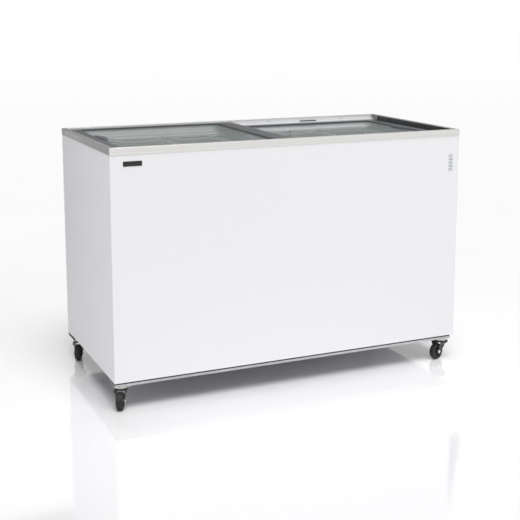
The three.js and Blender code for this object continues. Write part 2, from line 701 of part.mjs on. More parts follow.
// The finger grip: a raised half-moon tab over the glass, along the lid's end bar.
function lidGrip(kind) {
  const lid = lidPlaces(kind);
  const outline = halfMoon(lid.windowX[0] + FIT, GRIP_REACH, GRIP_LENGTH);
  return slab(outline, lid.glassBottom + GLASS + FIT, lid.bottom + LEVEL_STEP - GRIP_CLEARANCE, 12);
}

// ---- Baskets ------------------------------------------------------------------------------
const basketHalfX = (BASKET_PITCH - BASKET_GAP) / 2;
const hangerSpread = basketHalfX - HANGER_INSET;
const lastBasketX = WIDTH / 2 - TRACK_INNER - BASKET_SIDE_GAP - basketHalfX;
const basketX = (i) => lastBasketX - BASKET_PITCH * (BASKET_COUNT - 1 - i);
const basketHalfY = DEPTH / 2 - TRACK_INNER - BASKET_END_GAP;
const hangerTop = at(LOWER_LEDGE_DROP) - BASKET_LIFT_ROOM + FIT;
const hangerBottom = at(BASKET_SHELF_DROP) + FIT;

function wireBasket(i) {
  const x = basketX(i);
  const rim = at(BASKET_RIM_DROP);
  const floor = rim - BASKET_HEIGHT;
  const outer = block([x - basketHalfX, -basketHalfY, floor], [x + basketHalfX, basketHalfY, rim]);
  const innerHalfX = basketHalfX - BASKET_WALL;
  const innerHalfY = basketHalfY - BASKET_WALL;
  const inner = block(
    [x - innerHalfX, -innerHalfY, floor + BASKET_WALL],
    [x + innerHalfX, innerHalfY, rim + 1],
  );
  const hookEnd = DEPTH / 2 - SHELF_IN - 1;
  const hangers = [];
  for (const face of [-1, 1]) {
    for (const across of [-hangerSpread, hangerSpread]) {
      const outline = [
        [face * basketHalfY, rim - 2 * BASKET_WALL],
        [face * basketHalfY, hangerBottom],
        [face * hookEnd, hangerBottom],
        [face * hookEnd, hangerTop],
        [face * (basketHalfY - BASKET_WALL), hangerTop],
        [face * (basketHalfY - BASKET_WALL), rim - 2 * BASKET_WALL],
      ];
      if (face < 0) outline.reverse();
      hangers.push(alongX(outline, x + across - HANGER_WIDTH / 2, x + across + HANGER_WIDTH / 2));
    }
  }
  return joined(cut(outer, inner), ...hangers);
}

// ---- Casters ------------------------------------------------------------------------------
const axleZ = WHEEL_RADIUS;
const forkTop = CASTER_HEIGHT - PLATE_SHEET - DISH_HEIGHT - FIT;
const cheekIn = WHEEL_WIDTH / 2 + WHEEL_GAP;
const cheekOut = cheekIn + FORK_SHEET;

// Top plate with the dished ball race under it.
function casterPlate() {
  const dishTop = CASTER_HEIGHT - PLATE_SHEET;
  const plate = slab(roundedRectangle(PLATE_SIZE / 2, PLATE_SIZE / 2, 6), dishTop, CASTER_HEIGHT);
  const dishBottom = dishTop - DISH_HEIGHT;
  const dish = turned([
    [0, dishBottom],
    [DISH_RADIUS - 6, dishBottom],
    [DISH_RADIUS - 1, dishBottom + 3],
    [DISH_RADIUS, dishBottom + 6],
    [DISH_RADIUS - 3, dishTop - 1],
    [DISH_RADIUS - 3, dishTop + 1],
    [0, dishTop + 1],
  ]);
  return joined(plate, dish);
}

// Pressed fork: crown under the race, cheeks swept back to the axle. It trails towards -X.
function casterFork() {
  const crownUnder = forkTop - FORK_SHEET;
  const shoulder = forkTop - SHOULDER_DROP;
  const waist = axleZ + WAIST_RISE;
  const foot = axleZ - CHEEK_FOOT;
  const half = [
    [CROWN_HALF_WIDTH, forkTop],
    [CROWN_HALF_WIDTH, shoulder],
    [cheekOut, waist],
    [cheekOut, foot],
    [cheekIn, foot],
    [cheekIn, waist],
    [CROWN_HALF_WIDTH - FORK_SHEET, shoulder],
    [CROWN_HALF_WIDTH - FORK_SHEET, crownUnder],
  ];
  const mirrored = half.map(([a, z]) => [-a, z]).reverse();
  const front = alongX([...mirrored, ...half].reverse(), -TRAIL - 2 * WHEEL_RADIUS, 2 * WHEEL_RADIUS);
  const side = new THREE.Shape();
  side.moveTo(DISH_RADIUS - 4, forkTop + 1);
  side.lineTo(DISH_RADIUS - 4, shoulder);
  side.absarc(-TRAIL, axleZ, BOSS_RADIUS, -0.2 * Math.PI, -1.05 * Math.PI, true);
  side.lineTo(-DISH_RADIUS + 2, shoulder);
  side.lineTo(-DISH_RADIUS + 2, forkTop + 1);
  const profile = new THREE.ExtrudeGeometry(side, {
    depth: 2 * CROWN_HALF_WIDTH + 2,
    bevelEnabled: false,
    curveSegments: 8,
  });
  profile.rotateX(Math.PI / 2);
  profile.translate(0, CROWN_HALF_WIDTH + 1, 0);
  const bore = facingBack(rod(AXLE_RADIUS + FIT, -WHEEL_RADIUS, WHEEL_RADIUS, 16));
  return cut(front.intersect(solidOf(profile)), placed(bore, -TRAIL, 0, axleZ));
}

// Wheel about its own axis, with a crowned tread and a recessed web.
function casterWheel() {
  const half = WHEEL_WIDTH / 2;
  const right = [
    [AXLE_RADIUS + FIT, half],
    [10, half],
    [12, half - 5],
    [WHEEL_RADIUS - 11, half - 5],
    [WHEEL_RADIUS - 9, half - 1],
    [WHEEL_RADIUS - 3, half - 1],
    [WHEEL_RADIUS, half - 6],
  ];
  const left = right.map(([r, z]) => [r, -z]).reverse();
  return turnedRing([...right, ...left], 30);
}

// A turned ring, from a closed [radius, z] outline that stays off the axis.
function turnedRing(outline, segments) {
  const points = [...outline, outline[0]].map(([r, z]) => new THREE.Vector2(r, z));
  const solid = solidOf(new THREE.LatheGeometry(points, segments).rotateX(Math.PI / 2));
  if (solid.volume() > 0) return solid;
  return solidOf(new THREE.LatheGeometry([...points].reverse(), segments).rotateX(Math.PI / 2));
}

function casterAxle() {
  const headRadius = AXLE_RADIUS + 2.5;
  const inner = cheekOut + FIT;
  const outer = inner + AXLE_HEAD;
  return turned(
    [
      [0, -outer],
      [headRadius - 1.5, -outer],
      [headRadius, -inner - 1],
      [headRadius, -inner],
      [AXLE_RADIUS, -inner],
      [AXLE_RADIUS, inner],
      [headRadius, inner],
      [headRadius, inner + 1],
      [headRadius - 1.5, outer],
      [0, outer],
    ],
    16,
  );
}

function addCaster(name, { side, face, heading }) {
  const mount = new THREE.Group();
  mount.position.set(side * (PANEL_X - CASTER_INSET), face * RAIL_MIDDLE_Y, 0);
  freezer.add(mount);
  addPiece(`caster_plate_${name}`, casterPlate(), FINISHES.zinc, mount);
  // The fork is drawn trailing towards -X, so the heading is turned by half a circle.
  const swivel = new THREE.Group();
  swivel.rotation.z = THREE.MathUtils.degToRad(heading - 180);
  mount.add(swivel);
  addPiece(`caster_fork_${name}`, casterFork(), FINISHES.blackSteel, swivel);
  const axle = new THREE.Group();
  axle.position.set(-TRAIL, 0, axleZ);
  axle.rotation.x = -Math.PI / 2;
  swivel.add(axle);
  addPiece(`caster_wheel_${name}`, casterWheel(), FINISHES.tyre, axle);
  addPiece(`caster_axle_${name}`, casterAxle(), FINISHES.zinc, axle);
}

// ---- Refrigeration unit -----------------------------------------------------------------------
const compressorX = BAY_MIDDLE + COMPRESSOR_ASIDE;

// Hermetic compressor on a foot plate with four rubber feet, a relay box and its suction stub.
function compressor() {
  const base = TRAY_TOP + FIT;
  const canBottom = base + FOOT_HEIGHT;
  const r = COMPRESSOR_RADIUS;
  const h = COMPRESSOR_HEIGHT;
  const can = turned([
    [0, canBottom + 1],
    [r * 0.62, canBottom + 2],
    [r * 0.9, canBottom + h * 0.12],
    [r * 0.98, canBottom + h * 0.4],
    [r, canBottom + h * 0.46],
    [r, canBottom + h * 0.52],
    [r * 0.98, canBottom + h * 0.58],
    [r * 0.93, canBottom + h * 0.8],
    [r * 0.72, canBottom + h * 0.94],
    [r * 0.38, canBottom + h * 0.99],
    [0, canBottom + h],
  ]);
  const plate = slab(roundedRectangle(r * 1.14, r * 0.86, 12), canBottom, canBottom + 4, 3);
  const feet = [];
  for (const sx of [-1, 1]) {
    for (const sy of [-1, 1]) {
      feet.push(placed(rod(11, base, canBottom + 2, 12), sx * r * 0.98, sy * r * 0.68, 0));
    }
  }
  const relay = block([-r - 16, -26, canBottom + h * 0.3], [-r * 0.8, 26, canBottom + h * 0.66]);
  const stubTop = BAY_TOP - FIT;
  const stub = placed(rod(PIPE_RADIUS + 1, canBottom + h * 0.8, stubTop, 12), 0, r * 0.45, 0);
  return placed(joined(can, plate, ...feet, relay, stub), compressorX, COMPRESSOR_Y, 0);
}

// Fin block between two end plates that stand on the tray.
function condenser() {
  const [width, depth, height] = CONDENSER_SIZE;
  const base = TRAY_TOP + FIT;
  const finFoot = base + FIN_FOOT;
  const finHead = base + height - FIN_HEAD;
  const core = block(
    [BAY_MIDDLE - width / 2, CONDENSER_Y - depth / 2, finFoot],
    [BAY_MIDDLE + width / 2, CONDENSER_Y + depth / 2, finHead],
  );
  const halfSheet = CONDENSER_END_SHEET / 2;
  const halfDepth = depth / 2 + CONDENSER_END_REACH;
  const endPlate = (x) =>
    block(
      [x - halfSheet, CONDENSER_Y - halfDepth, base],
      [x + halfSheet, CONDENSER_Y + halfDepth, base + height],
    );
  const grooves = [];
  for (let i = 1; i < CONDENSER_FINS; i++) {
    const x = BAY_MIDDLE - width / 2 + (width * i) / CONDENSER_FINS;
    for (const face of [-1, 1]) {
      const y = CONDENSER_Y + (face * depth) / 2;
      grooves.push(
        block(
          [x - FIN_GROOVE / 2, y - FIN_GROOVE_DEPTH, finFoot + FIN_GROOVE_MARGIN],
          [x + FIN_GROOVE / 2, y + FIN_GROOVE_DEPTH, finHead - FIN_GROOVE_MARGIN],
        ),
      );
    }
  }
  return joined(
    cut(core, ...grooves),
    endPlate(BAY_MIDDLE - width / 2),
    endPlate(BAY_MIDDLE + width / 2),
  );
}

const fanPlateY = CONDENSER_Y + CONDENSER_SIZE[1] / 2 + FAN_PLATE_GAP;
const fanZ = TRAY_TOP + FIT + CONDENSER_SIZE[2] / 2;
const motorDistance = MOTOR_SETBACK + MOTOR_LENGTH; // shroud's front face to the motor's back
const shaftLength = 12; // fan shaft inside the motor

// Square shroud with a round mouth, three arms behind it and the motor in the middle.
function fanBracket() {
  const halfX = CONDENSER_SIZE[0] / 2 - FAN_PLATE_SHEET;
  const base = TRAY_TOP + FIT;
  const mouth = FAN_RADIUS + FAN_TIP_GAP;
  const plate = block(
    [BAY_MIDDLE - halfX, fanPlateY, base],
    [BAY_MIDDLE + halfX, fanPlateY + FAN_PLATE_SHEET, base + CONDENSER_SIZE[2]],
  );
  const place = (solid) => placed(facingBack(solid), BAY_MIDDLE, fanPlateY, fanZ);
  const hole = place(rod(mouth, -10, 10, 32));
  const halfArm = FAN_ARM_WIDTH / 2;
  const armSheet = 3;
  const arms = [30, 150, 270].map((angle) => {
    const post = block([mouth, -halfArm, 0], [mouth + FAN_ARM, halfArm, motorDistance]);
    const spoke = block(
      [MOTOR_RADIUS - 4, -halfArm, motorDistance - armSheet],
      [mouth + FAN_ARM, halfArm, motorDistance],
    );
    return place(joined(post, spoke).rotate([0, 0, angle]));
  });
  const motor = rod(MOTOR_RADIUS, MOTOR_SETBACK, motorDistance, 20);
  const bore = rod(FAN_SHAFT_RADIUS + FIT, 0, MOTOR_SETBACK + shaftLength + 4, 12);
  return cut(joined(cut(plate, hole), ...arms, place(motor)), place(bore));
}

// Hub, pitched blades and the shaft stub that runs in the motor.
function fanBlade() {
  const hubBack = FAN_HUB_FRONT + FAN_HUB_LENGTH;
  const hub = rod(FAN_HUB_RADIUS, FAN_HUB_FRONT, hubBack, 20);
  const shaft = rod(FAN_SHAFT_RADIUS, hubBack - 1, MOTOR_SETBACK + shaftLength, 12);
  const rim = rod(FAN_RADIUS - 1, -2, 2, 40);
  const vane = block([FAN_HUB_RADIUS - 4, -24, -1], [FAN_RADIUS, 24, 1])
    .intersect(rim)
    .rotate([FAN_PITCH, 0, 0])
    .translate([0, 0, FAN_HUB_FRONT + FAN_HUB_LENGTH / 2]);
  const blades = [];
  for (let i = 0; i < FAN_BLADES; i++) blades.push(vane.rotate([0, 0, (360 / FAN_BLADES) * i]));
  return placed(facingBack(joined(hub, shaft, ...blades)), BAY_MIDDLE, fanPlateY, fanZ);
}

const condenserHalf = (CONDENSER_SIZE[0] + CONDENSER_END_SHEET) / 2;
const drierX = BAY_MIDDLE - condenserHalf - FIT - DRIER_RADIUS;
const drierBottom = TRAY_TOP + DRIER_RISE;

function filterDrier() {
  const r = DRIER_RADIUS;
  const neck = PIPE_RADIUS;
  return placed(
    turned(
      [
        [0, 0],
        [neck, 0],
        [neck, 10],
        [r, 20],
        [r, DRIER_LENGTH - 20],
        [neck, DRIER_LENGTH - 10],
        [neck, DRIER_LENGTH],
        [0, DRIER_LENGTH],
      ],
      16,
    ),
    drierX,
    CONDENSER_Y,
    drierBottom,
  );
}

// Tube from the compressor's shell, along the partition side, to the condenser's end plate.
function dischargePipe() {
  const start = new THREE.Vector3(
    compressorX + COMPRESSOR_RADIUS + PIPE_RADIUS + FIT,
    COMPRESSOR_Y,
    TRAY_TOP + FIT + FOOT_HEIGHT + COMPRESSOR_HEIGHT * 0.49,
  );
  const top = TRAY_TOP + FIT + CONDENSER_SIZE[2] - 24;
  const endX = BAY_MIDDLE + condenserHalf + PIPE_RADIUS + FIT;
  const route = new THREE.CatmullRomCurve3([
    start,
    new THREE.Vector3(start.x, start.y, start.z + 30),
    new THREE.Vector3((start.x + endX) / 2, start.y - 50, top + 6),
    new THREE.Vector3(endX, CONDENSER_Y + 90, top),
    new THREE.Vector3(endX, CONDENSER_Y + 40, top),
    new THREE.Vector3(endX, CONDENSER_Y, top),
  ]);
  const section = new THREE.Shape().absarc(0, 0, PIPE_RADIUS, 0, 2 * Math.PI);
  return solidOf(
    new THREE.ExtrudeGeometry(section, {
      steps: 28,
      curveSegments: 5,
      extrudePath: route,
      bevelEnabled: false,
    }),
  );
}

// ---- Controls on the back panel -----------------------------------------------------------------
// A cup set into the panel, with a thin flange outside and a bushing for the knob's shaft.
const cupFloor = PANEL_Y + FIT - CONTROL_DEPTH;

function thermostatHousing() {
  const half = CONTROL_SIZE / 2;
  const outer = half + CONTROL_FLANGE;
  const y0 = PANEL_Y + FIT;
  const y1 = y0 + CONTROL_FLANGE_SHEET;
  const cup = block([-half, cupFloor - CONTROL_WALL, -half], [half, y1, half]);
  const rim = block([-outer, y0, -outer], [outer, y1, outer]);
  const inner = half - CONTROL_WALL;
  const hollow = block([-inner, cupFloor, -inner], [inner, y1 + 1, inner]);
  const halfBody = CONTROL_BODY_SIZE / 2;
  const body = block(
    [-halfBody, cupFloor - CONTROL_BODY_DEPTH, -halfBody],
    [halfBody, cupFloor - 1, halfBody],
  );
  const boreDepth = KNOB_SHAFT_LENGTH + 4;
  const bore = facingBack(rod(KNOB_SHAFT_RADIUS + FIT, -boreDepth, CONTROL_DEPTH, 16));
  const solid = cut(joined(cup, rim, body), hollow, placed(bore, 0, cupFloor, 0));
  return placed(solid, controlX, 0, controlZ);
}

function thermostatKnob() {
  const skirt = KNOB_RADIUS + 1.5;
  const knob = turned(
    [
      [0, KNOB_GAP],
      [skirt, KNOB_GAP],
      [skirt, KNOB_GAP + 2],
      [KNOB_RADIUS - 1, KNOB_GAP + 4],
      [KNOB_RADIUS - 2.5, KNOB_HEIGHT],
      [0, KNOB_HEIGHT],
    ],
    24,
  );
  const shaft = rod(KNOB_SHAFT_RADIUS, -KNOB_SHAFT_LENGTH, 2, 16);
  const pointer = block([-1.4, 0, KNOB_HEIGHT - 1], [1.4, KNOB_RADIUS - 4, KNOB_HEIGHT + 1.2]);
  const whole = joined(knob, shaft, pointer).rotate([0, 0, 180]);
  return placed(facingBack(whole), controlX, cupFloor, controlZ);
}

// Bush that the supply lead comes out of, with its nut behind the panel.
function cordGland() {
  const nutBack = -SHEET - FIT - GLAND_NUT_LENGTH;
  const nutFront = -SHEET - FIT;
  const bush = turnedRing(
    [
      [GLAND_BORE_RADIUS, nutBack],
      [GLAND_NUT_RADIUS, nutBack],
      [GLAND_NUT_RADIUS, nutFront],
      [GLAND_RADIUS, nutFront],
      [GLAND_RADIUS, FIT],
      [GLAND_FLANGE_RADIUS, FIT],
      [GLAND_FLANGE_RADIUS - 0.8, GLAND_PROUD],
      [GLAND_BORE_RADIUS, GLAND_PROUD],
    ],
    20,
  );
  return placed(facingBack(bush), controlX, PANEL_Y, glandZ);
}

// ---- Trim ---------------------------------------------------------------------------------
function badgePlate() {
  const [width, height, thickness] = BADGE;
  const outline = roundedRectangle(width / 2, height / 2, BADGE_CORNER);
  const plate = slab(outline, 0, thickness, 3).rotate([90, 0, 0]);
  const x = -PANEL_X + BADGE_INSET + width / 2;
  return placed(plate, x, -PANEL_Y - FIT, at(BADGE_DROP) - height / 2);
}

// Slim thermometer held against the back lip, over the edge of the tank.
function thermometer() {
  const [width, thickness, height] = THERMOMETER;
  const back = DEPTH / 2 - TRACK_INNER - FIT;
  const top = at(BASKET_SHELF_DROP) - THERMOMETER_DROP;
  const x = basketX(THERMOMETER_BASKET) + THERMOMETER_ASIDE;
  return block([x - width / 2, back - thickness, top - height], [x + width / 2, back, top]);
}

// ---- Assembly -----------------------------------------------------------------------------
addPiece("front_panel", frontPanel(), FINISHES.paint);
addPiece("side_panel_left", sidePanel(-1), FINISHES.paint);
addPiece("side_panel_right", sidePanel(1), FINISHES.paint);
addPiece("back_panel", backPanel(), FINISHES.paint);
addPiece("rear_grille", rearGrille(), FINISHES.zinc);
addPiece("base_pan", basePan(), FINISHES.zinc);
addPiece("compressor_tray", compressorTray(), FINISHES.zinc);
addPiece("base_rail_front", baseRail(-1), FINISHES.zinc);
addPiece("base_rail_back", baseRail(1), FINISHES.zinc);
addPiece("bay_partition", bayPartition(), FINISHES.zinc);
addPiece("insulation_foam", insulationFoam(), FINISHES.foam);
addPiece("inner_liner", innerLiner(), FINISHES.liner);
addPiece("drain_tube", drainTube(), FINISHES.whitePlastic);
addPiece("drain_plug", drainPlug(), FINISHES.darkPlastic);

const ring = topFrameRing();
addPiece("top_frame_front", topFrameSide(ring, WIDTH / 2, DEPTH / 2, 0), FINISHES.frame);
addPiece("top_frame_right", topFrameSide(ring, DEPTH / 2, WIDTH / 2, 90), FINISHES.frame);
addPiece("top_frame_back", topFrameSide(ring, WIDTH / 2, DEPTH / 2, 180), FINISHES.frame);
addPiece("top_frame_left", topFrameSide(ring, DEPTH / 2, WIDTH / 2, 270), FINISHES.frame);
addPiece("lid_track_front", lidTrack(-1), FINISHES.track);
addPiece("lid_track_back", lidTrack(1), FINISHES.track);
addPiece("end_stop_left", endStop(-1), FINISHES.darkPlastic);
addPiece("end_stop_right", endStop(1), FINISHES.darkPlastic);

for (const [name, kind] of Object.entries(LIDS)) {
  const handed = (solid) => (kind.side < 0 ? solid : solid.mirror([1, 0, 0]));
  addPiece(`lid_${name}_frame`, handed(lidFrame(kind)), FINISHES.lidPlastic);
  addPiece(`lid_${name}_glass`, handed(lidGlass(kind)), FINISHES.glass);
  addPiece(`lid_${name}_grip`, handed(lidGrip(kind)), FINISHES.gripPlastic);
}

for (let i = 0; i < BASKET_COUNT; i++) {
  addPiece(`wire_basket_${i + 1}`, wireBasket(i), FINISHES.wire);
}

addPiece("compressor", compressor(), FINISHES.blackSteel);
addPiece("condenser", condenser(), FINISHES.fins);
addPiece("fan_bracket", fanBracket(), FINISHES.zinc);
addPiece("fan_blade", fanBlade(), FINISHES.darkPlastic);
addPiece("filter_drier", filterDrier(), FINISHES.copper);
addPiece("discharge_pipe", dischargePipe(), FINISHES.copper);
addPiece("thermostat_housing", thermostatHousing(), FINISHES.darkPlastic);
addPiece("thermostat_knob", thermostatKnob(), FINISHES.whitePlastic);
addPiece("cord_gland", cordGland(), FINISHES.darkPlastic);
addPiece("badge_plate", badgePlate(), FINISHES.badge);
addPiece("thermometer", thermometer(), FINISHES.darkPlastic);

for (const [name, place] of Object.entries(SWIVELS)) addCaster(name, place);

export default freezer;
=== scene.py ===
"""Looks of a sliding-lid chest freezer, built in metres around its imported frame."""

import json
import logging
import math
import random
from dataclasses import dataclass, field
from enum import Enum
from typing import Iterable, Sequence

import bmesh
import bpy
from mathutils import Matrix, Vector


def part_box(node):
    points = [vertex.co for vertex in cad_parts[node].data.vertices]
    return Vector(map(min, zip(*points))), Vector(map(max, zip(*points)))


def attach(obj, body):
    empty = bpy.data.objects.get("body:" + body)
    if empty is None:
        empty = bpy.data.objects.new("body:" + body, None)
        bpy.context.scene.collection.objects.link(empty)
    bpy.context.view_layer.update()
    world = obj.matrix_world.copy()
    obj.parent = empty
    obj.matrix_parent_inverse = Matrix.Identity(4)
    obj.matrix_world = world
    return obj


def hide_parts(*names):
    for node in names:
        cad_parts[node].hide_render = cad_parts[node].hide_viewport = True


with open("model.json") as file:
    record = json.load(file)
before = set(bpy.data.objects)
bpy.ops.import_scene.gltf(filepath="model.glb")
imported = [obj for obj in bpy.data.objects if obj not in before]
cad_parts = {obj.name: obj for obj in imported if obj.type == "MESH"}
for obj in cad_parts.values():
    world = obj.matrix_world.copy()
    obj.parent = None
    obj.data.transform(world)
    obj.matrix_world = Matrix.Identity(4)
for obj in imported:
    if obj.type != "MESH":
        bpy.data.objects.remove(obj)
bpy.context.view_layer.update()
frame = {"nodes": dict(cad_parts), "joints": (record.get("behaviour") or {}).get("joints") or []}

LOG = logging.getLogger("freezer")
Point2 = tuple[float, float]
Point3 = tuple[float, float, float]
Socket = bpy.types.NodeSocket

MM = 0.001
CABINET = "cabinet"
RANDOM = random.Random(27)


# ---- Places read from the frame ------------------------------------------------------------
@dataclass(frozen=True)
class Extent:
    """The lowest and highest corner of one frame node at rest."""

    low: Vector
    high: Vector

    @classmethod
    def of(cls, node: str) -> "Extent":
        """Read a node's box.

        Args:
            node: The node's name.

        Returns:
            Its extent in metres.
        """
        low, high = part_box(node)
        return cls(low, high)

    @property
    def middle(self) -> Vector:
        """The box's middle."""
        return (self.low + self.high) / 2

    @property
    def size(self) -> Vector:
        """The box's edge lengths."""
        return self.high - self.low


def joint_named(name: str) -> dict:
    """Find a joint of the frame.

    Args:
        name: The joint's name.

    Returns:
        The joint's record, with its point and axis.
    """
    return next(joint for joint in frame["joints"] if joint["name"] == name)


# ---- Shaping ---------------------------------------------------------------------------------
class Form:
    """A mesh under construction, gathered from simple worked shapes."""

    def __init__(self) -> None:
        """Start with an empty mesh."""
        self.mesh = bmesh.new()

    def join(self, made: bmesh.types.BMesh, matrix: Matrix | None = None) -> None:
        """Join a finished shape to this one.

        Args:
            made: The shape, which is used up.
            matrix: Where it goes, or None to leave it in place.
        """
        if matrix is not None:
            made.transform(matrix)
            if matrix.determinant() < 0:
                bmesh.ops.reverse_faces(made, faces=made.faces)
        spare = bpy.data.meshes.new("spare")
        made.to_mesh(spare)
        made.free()
        self.mesh.from_mesh(spare)
        bpy.data.meshes.remove(spare)

    def block(
        self,
        low: Sequence[float],
        high: Sequence[float],
        soften: float = 0.0,
        steps: int = 2,
        matrix: Matrix | None = None,
    ) -> None:
        """Add a box with softened edges.

        Args:
            low: Its lowest corner.
            high: Its highest corner.
            soften: The edge radius.
            steps: Segments in each rounded edge.
            matrix: Where it goes, or None.
        """
        made = bmesh.new()
        size = Vector(high) - Vector(low)
        middle = (Vector(high) + Vector(low)) / 2
        bmesh.ops.create_cube(made, size=1.0)
        made.transform(Matrix.Translation(middle) @ Matrix.Diagonal((*size, 1.0)))
        if soften > 0:
            bmesh.ops.bevel(
                made, geom=made.edges[:], offset=min(soften, min(size) * 0.45),
                segments=steps, profile=0.5, affect="EDGES", clamp_overlap=True,
            )
        self.join(made, matrix)

    def extrusion(
        self,
        outline: Sequence[Point2],
        start: float,
        end: float,
        matrix: Matrix,
        soften: float = 0.0,
        steps: int = 1,
    ) -> None:
        """Add an outline pushed along the local Z axis.

        Args:
            outline: The closed outline, counter-clockwise in local X and Y.
            start: Local Z of its first end.
            end: Local Z of its other end.
            matrix: Turns local axes into the object's.
            soften: Radius of the long edges.
            steps: Segments in each rounded edge.
        """
        made = bmesh.new()
        ring = [made.verts.new((x, y, start)) for x, y in outline]
        face = made.faces.new(ring)
        face.normal_update()
        pushed = bmesh.ops.extrude_face_region(made, geom=[face])["geom"]
        moved = [v for v in pushed if isinstance(v, bmesh.types.BMVert)]
        bmesh.ops.translate(made, verts=moved, vec=(0, 0, end - start))
        bmesh.ops.recalc_face_normals(made, faces=made.faces)
        if soften > 0:
            along = [
                e for e in made.edges
                if abs(e.verts[0].co.z - e.verts[1].co.z) > abs(end - start) / 2
            ]
            bmesh.ops.bevel(
                made, geom=along, offset=soften, segments=steps, profile=0.5,
                affect="EDGES", clamp_overlap=True,
            )
        self.join(made, matrix)

    def turned(
        self, profile: Sequence[Point2], segments: int, matrix: Matrix | None = None
    ) -> None:
        """Add a turned shape about the local Z axis.

        Args:
            profile: Points of radius and height; it closes on itself or on the axis.
            segments: Facets round the axis.
            matrix: Where it goes, or None.
        """
        made = bmesh.new()
        rings: list[list[bmesh.types.BMVert]] = []
        for radius, height in profile:
            if radius < 1e-7:
                rings.append([made.verts.new((0, 0, height))])
                continue
            turn = [2 * math.pi * i / segments for i in range(segments)]
            rings.append(
                [made.verts.new((radius * math.cos(a), radius * math.sin(a), height)) for a in turn]
            )
        closed = profile[0][0] > 1e-7
        pairs = list(zip(rings, rings[1:] + rings[:1] if closed else rings[1:]))
        for below, above in pairs:
            for i in range(segments):
                j = (i + 1) % segments
                corners = [below[i % len(below)], below[j % len(below)]]
                corners += [above[j % len(above)], above[i % len(above)]]
                corners = list(dict.fromkeys(corners))
                if len(corners) > 2:
                    made.faces.new(corners)
        bmesh.ops.recalc_face_normals(made, faces=made.faces)
        self.join(made, matrix)

    def plate(
        self,
        outline: Sequence[Point2],
        holes: Iterable[Sequence[Point2]],
        low: float,
        high: float,
        soften: float = 0.0,
        steps: int = 1,
        matrix: Matrix | None = None,
    ) -> None:
        """Add a flat plate with holes and softened rims, in the local XY plane.

        Args:
            outline: The outer outline.
            holes: The outlines of the holes.
            low: Local Z of its under face.
            high: Local Z of its upper face.
            soften: Radius of the rims.
            steps: Segments in each rounded rim.
            matrix: Where it goes, or None.
        """
        curve = bpy.data.curves.new("plate", "CURVE")
        curve.dimensions = "2D"
        curve.fill_mode = "BOTH"
        for points in [outline, *holes]:
            spline = curve.splines.new("POLY")
            spline.points.add(len(points) - 1)
            for point, (x, y) in zip(spline.points, points):
                point.co = (x, y, 0, 1)
            spline.use_cyclic_u = True
        curve.extrude = (high - low) / 2 - soften
        curve.bevel_depth = soften
        curve.bevel_resolution = steps - 1
        curve.offset = -soften
        made = mesh_of_curve(curve)
        bmesh.ops.remove_doubles(made, verts=made.verts, dist=1e-6)
        bmesh.ops.recalc_face_normals(made, faces=made.faces)
        lift = Matrix.Translation((0, 0, (low + high) / 2))
        self.join(made, lift if matrix is None else matrix @ lift)

    def wires(
        self,
        runs: Iterable[Sequence[Sequence[float]]],
        radius: float,
        sides: int = 2,
        closed: bool = False,
        matrix: Matrix | None = None,
    ) -> None:
        """Add round wires along lines of points.

        Args:
            runs: Each wire's points.
            radius: The wire's radius.
            sides: Curve bevel resolution; 0 gives four sides, 1 gives six.
            closed: Whether each wire closes on itself.
            matrix: Where they go, or None.
        """
        curve = bpy.data.curves.new("wires", "CURVE")
        curve.dimensions = "3D"
        curve.bevel_depth = radius
        curve.bevel_resolution = sides
        curve.use_fill_caps = True
        for points in runs:
            spline = curve.splines.new("POLY")
            spline.points.add(len(points) - 1)
            for point, place in zip(spline.points, points):
                point.co = (*place, 1)
            spline.use_cyclic_u = closed
        self.join(mesh_of_curve(curve), matrix)


def mesh_of_curve(curve: bpy.types.Curve) -> bmesh.types.BMesh:
    """Turn a curve into a mesh and remove the curve.

    Args:
        curve: The curve to use up.

    Returns:
        Its surface.
    """
    holder = bpy.data.objects.new("holder", curve)
    surface = bpy.data.meshes.new_from_object(holder)
    made = bmesh.new()
    made.from_mesh(surface)
    bpy.data.objects.remove(holder)
    bpy.data.curves.remove(curve)
    bpy.data.meshes.remove(surface)
    return made


def turn(axis: str, degrees: float) -> Matrix:
    """Make a turn about a main axis.

    Args:
        axis: X, Y or Z.
        degrees: The angle.

    Returns:
        The 4 by 4 matrix.
    """
    return Matrix.Rotation(math.radians(degrees), 4, axis)


def moved(x: float, y: float, z: float) -> Matrix:
    """Make a shift by x, y and z."""
    return Matrix.Translation((x, y, z))


def mirrored(axis: str) -> Matrix:
    """Make a mirror across the plane square to a main axis."""
    signs = [-1 if name == axis else 1 for name in "XYZ"]
    return Matrix.Diagonal((*signs, 1))


ALONG_X = Matrix(((0, 0, 1, 0), (1, 0, 0, 0), (0, 1, 0, 0), (0, 0, 0, 1)))
ALONG_Y = Matrix(((1, 0, 0, 0), (0, 0, -1, 0), (0, 1, 0, 0), (0, 0, 0, 1)))


def arc(
    centre: Point2, radius: float, start: float, end: float, steps: int
) -> list[Point2]:
    """Points of an arc.

    Args:
        centre: The arc's centre.
        radius: Its radius.
        start: First angle in degrees.
        end: Last angle in degrees.
        steps: Segments.

    Returns:
        steps + 1 points.
    """
    angles = [math.radians(start + (end - start) * i / steps) for i in range(steps + 1)]
    return [(centre[0] + radius * math.cos(a), centre[1] + radius * math.sin(a)) for a in angles]


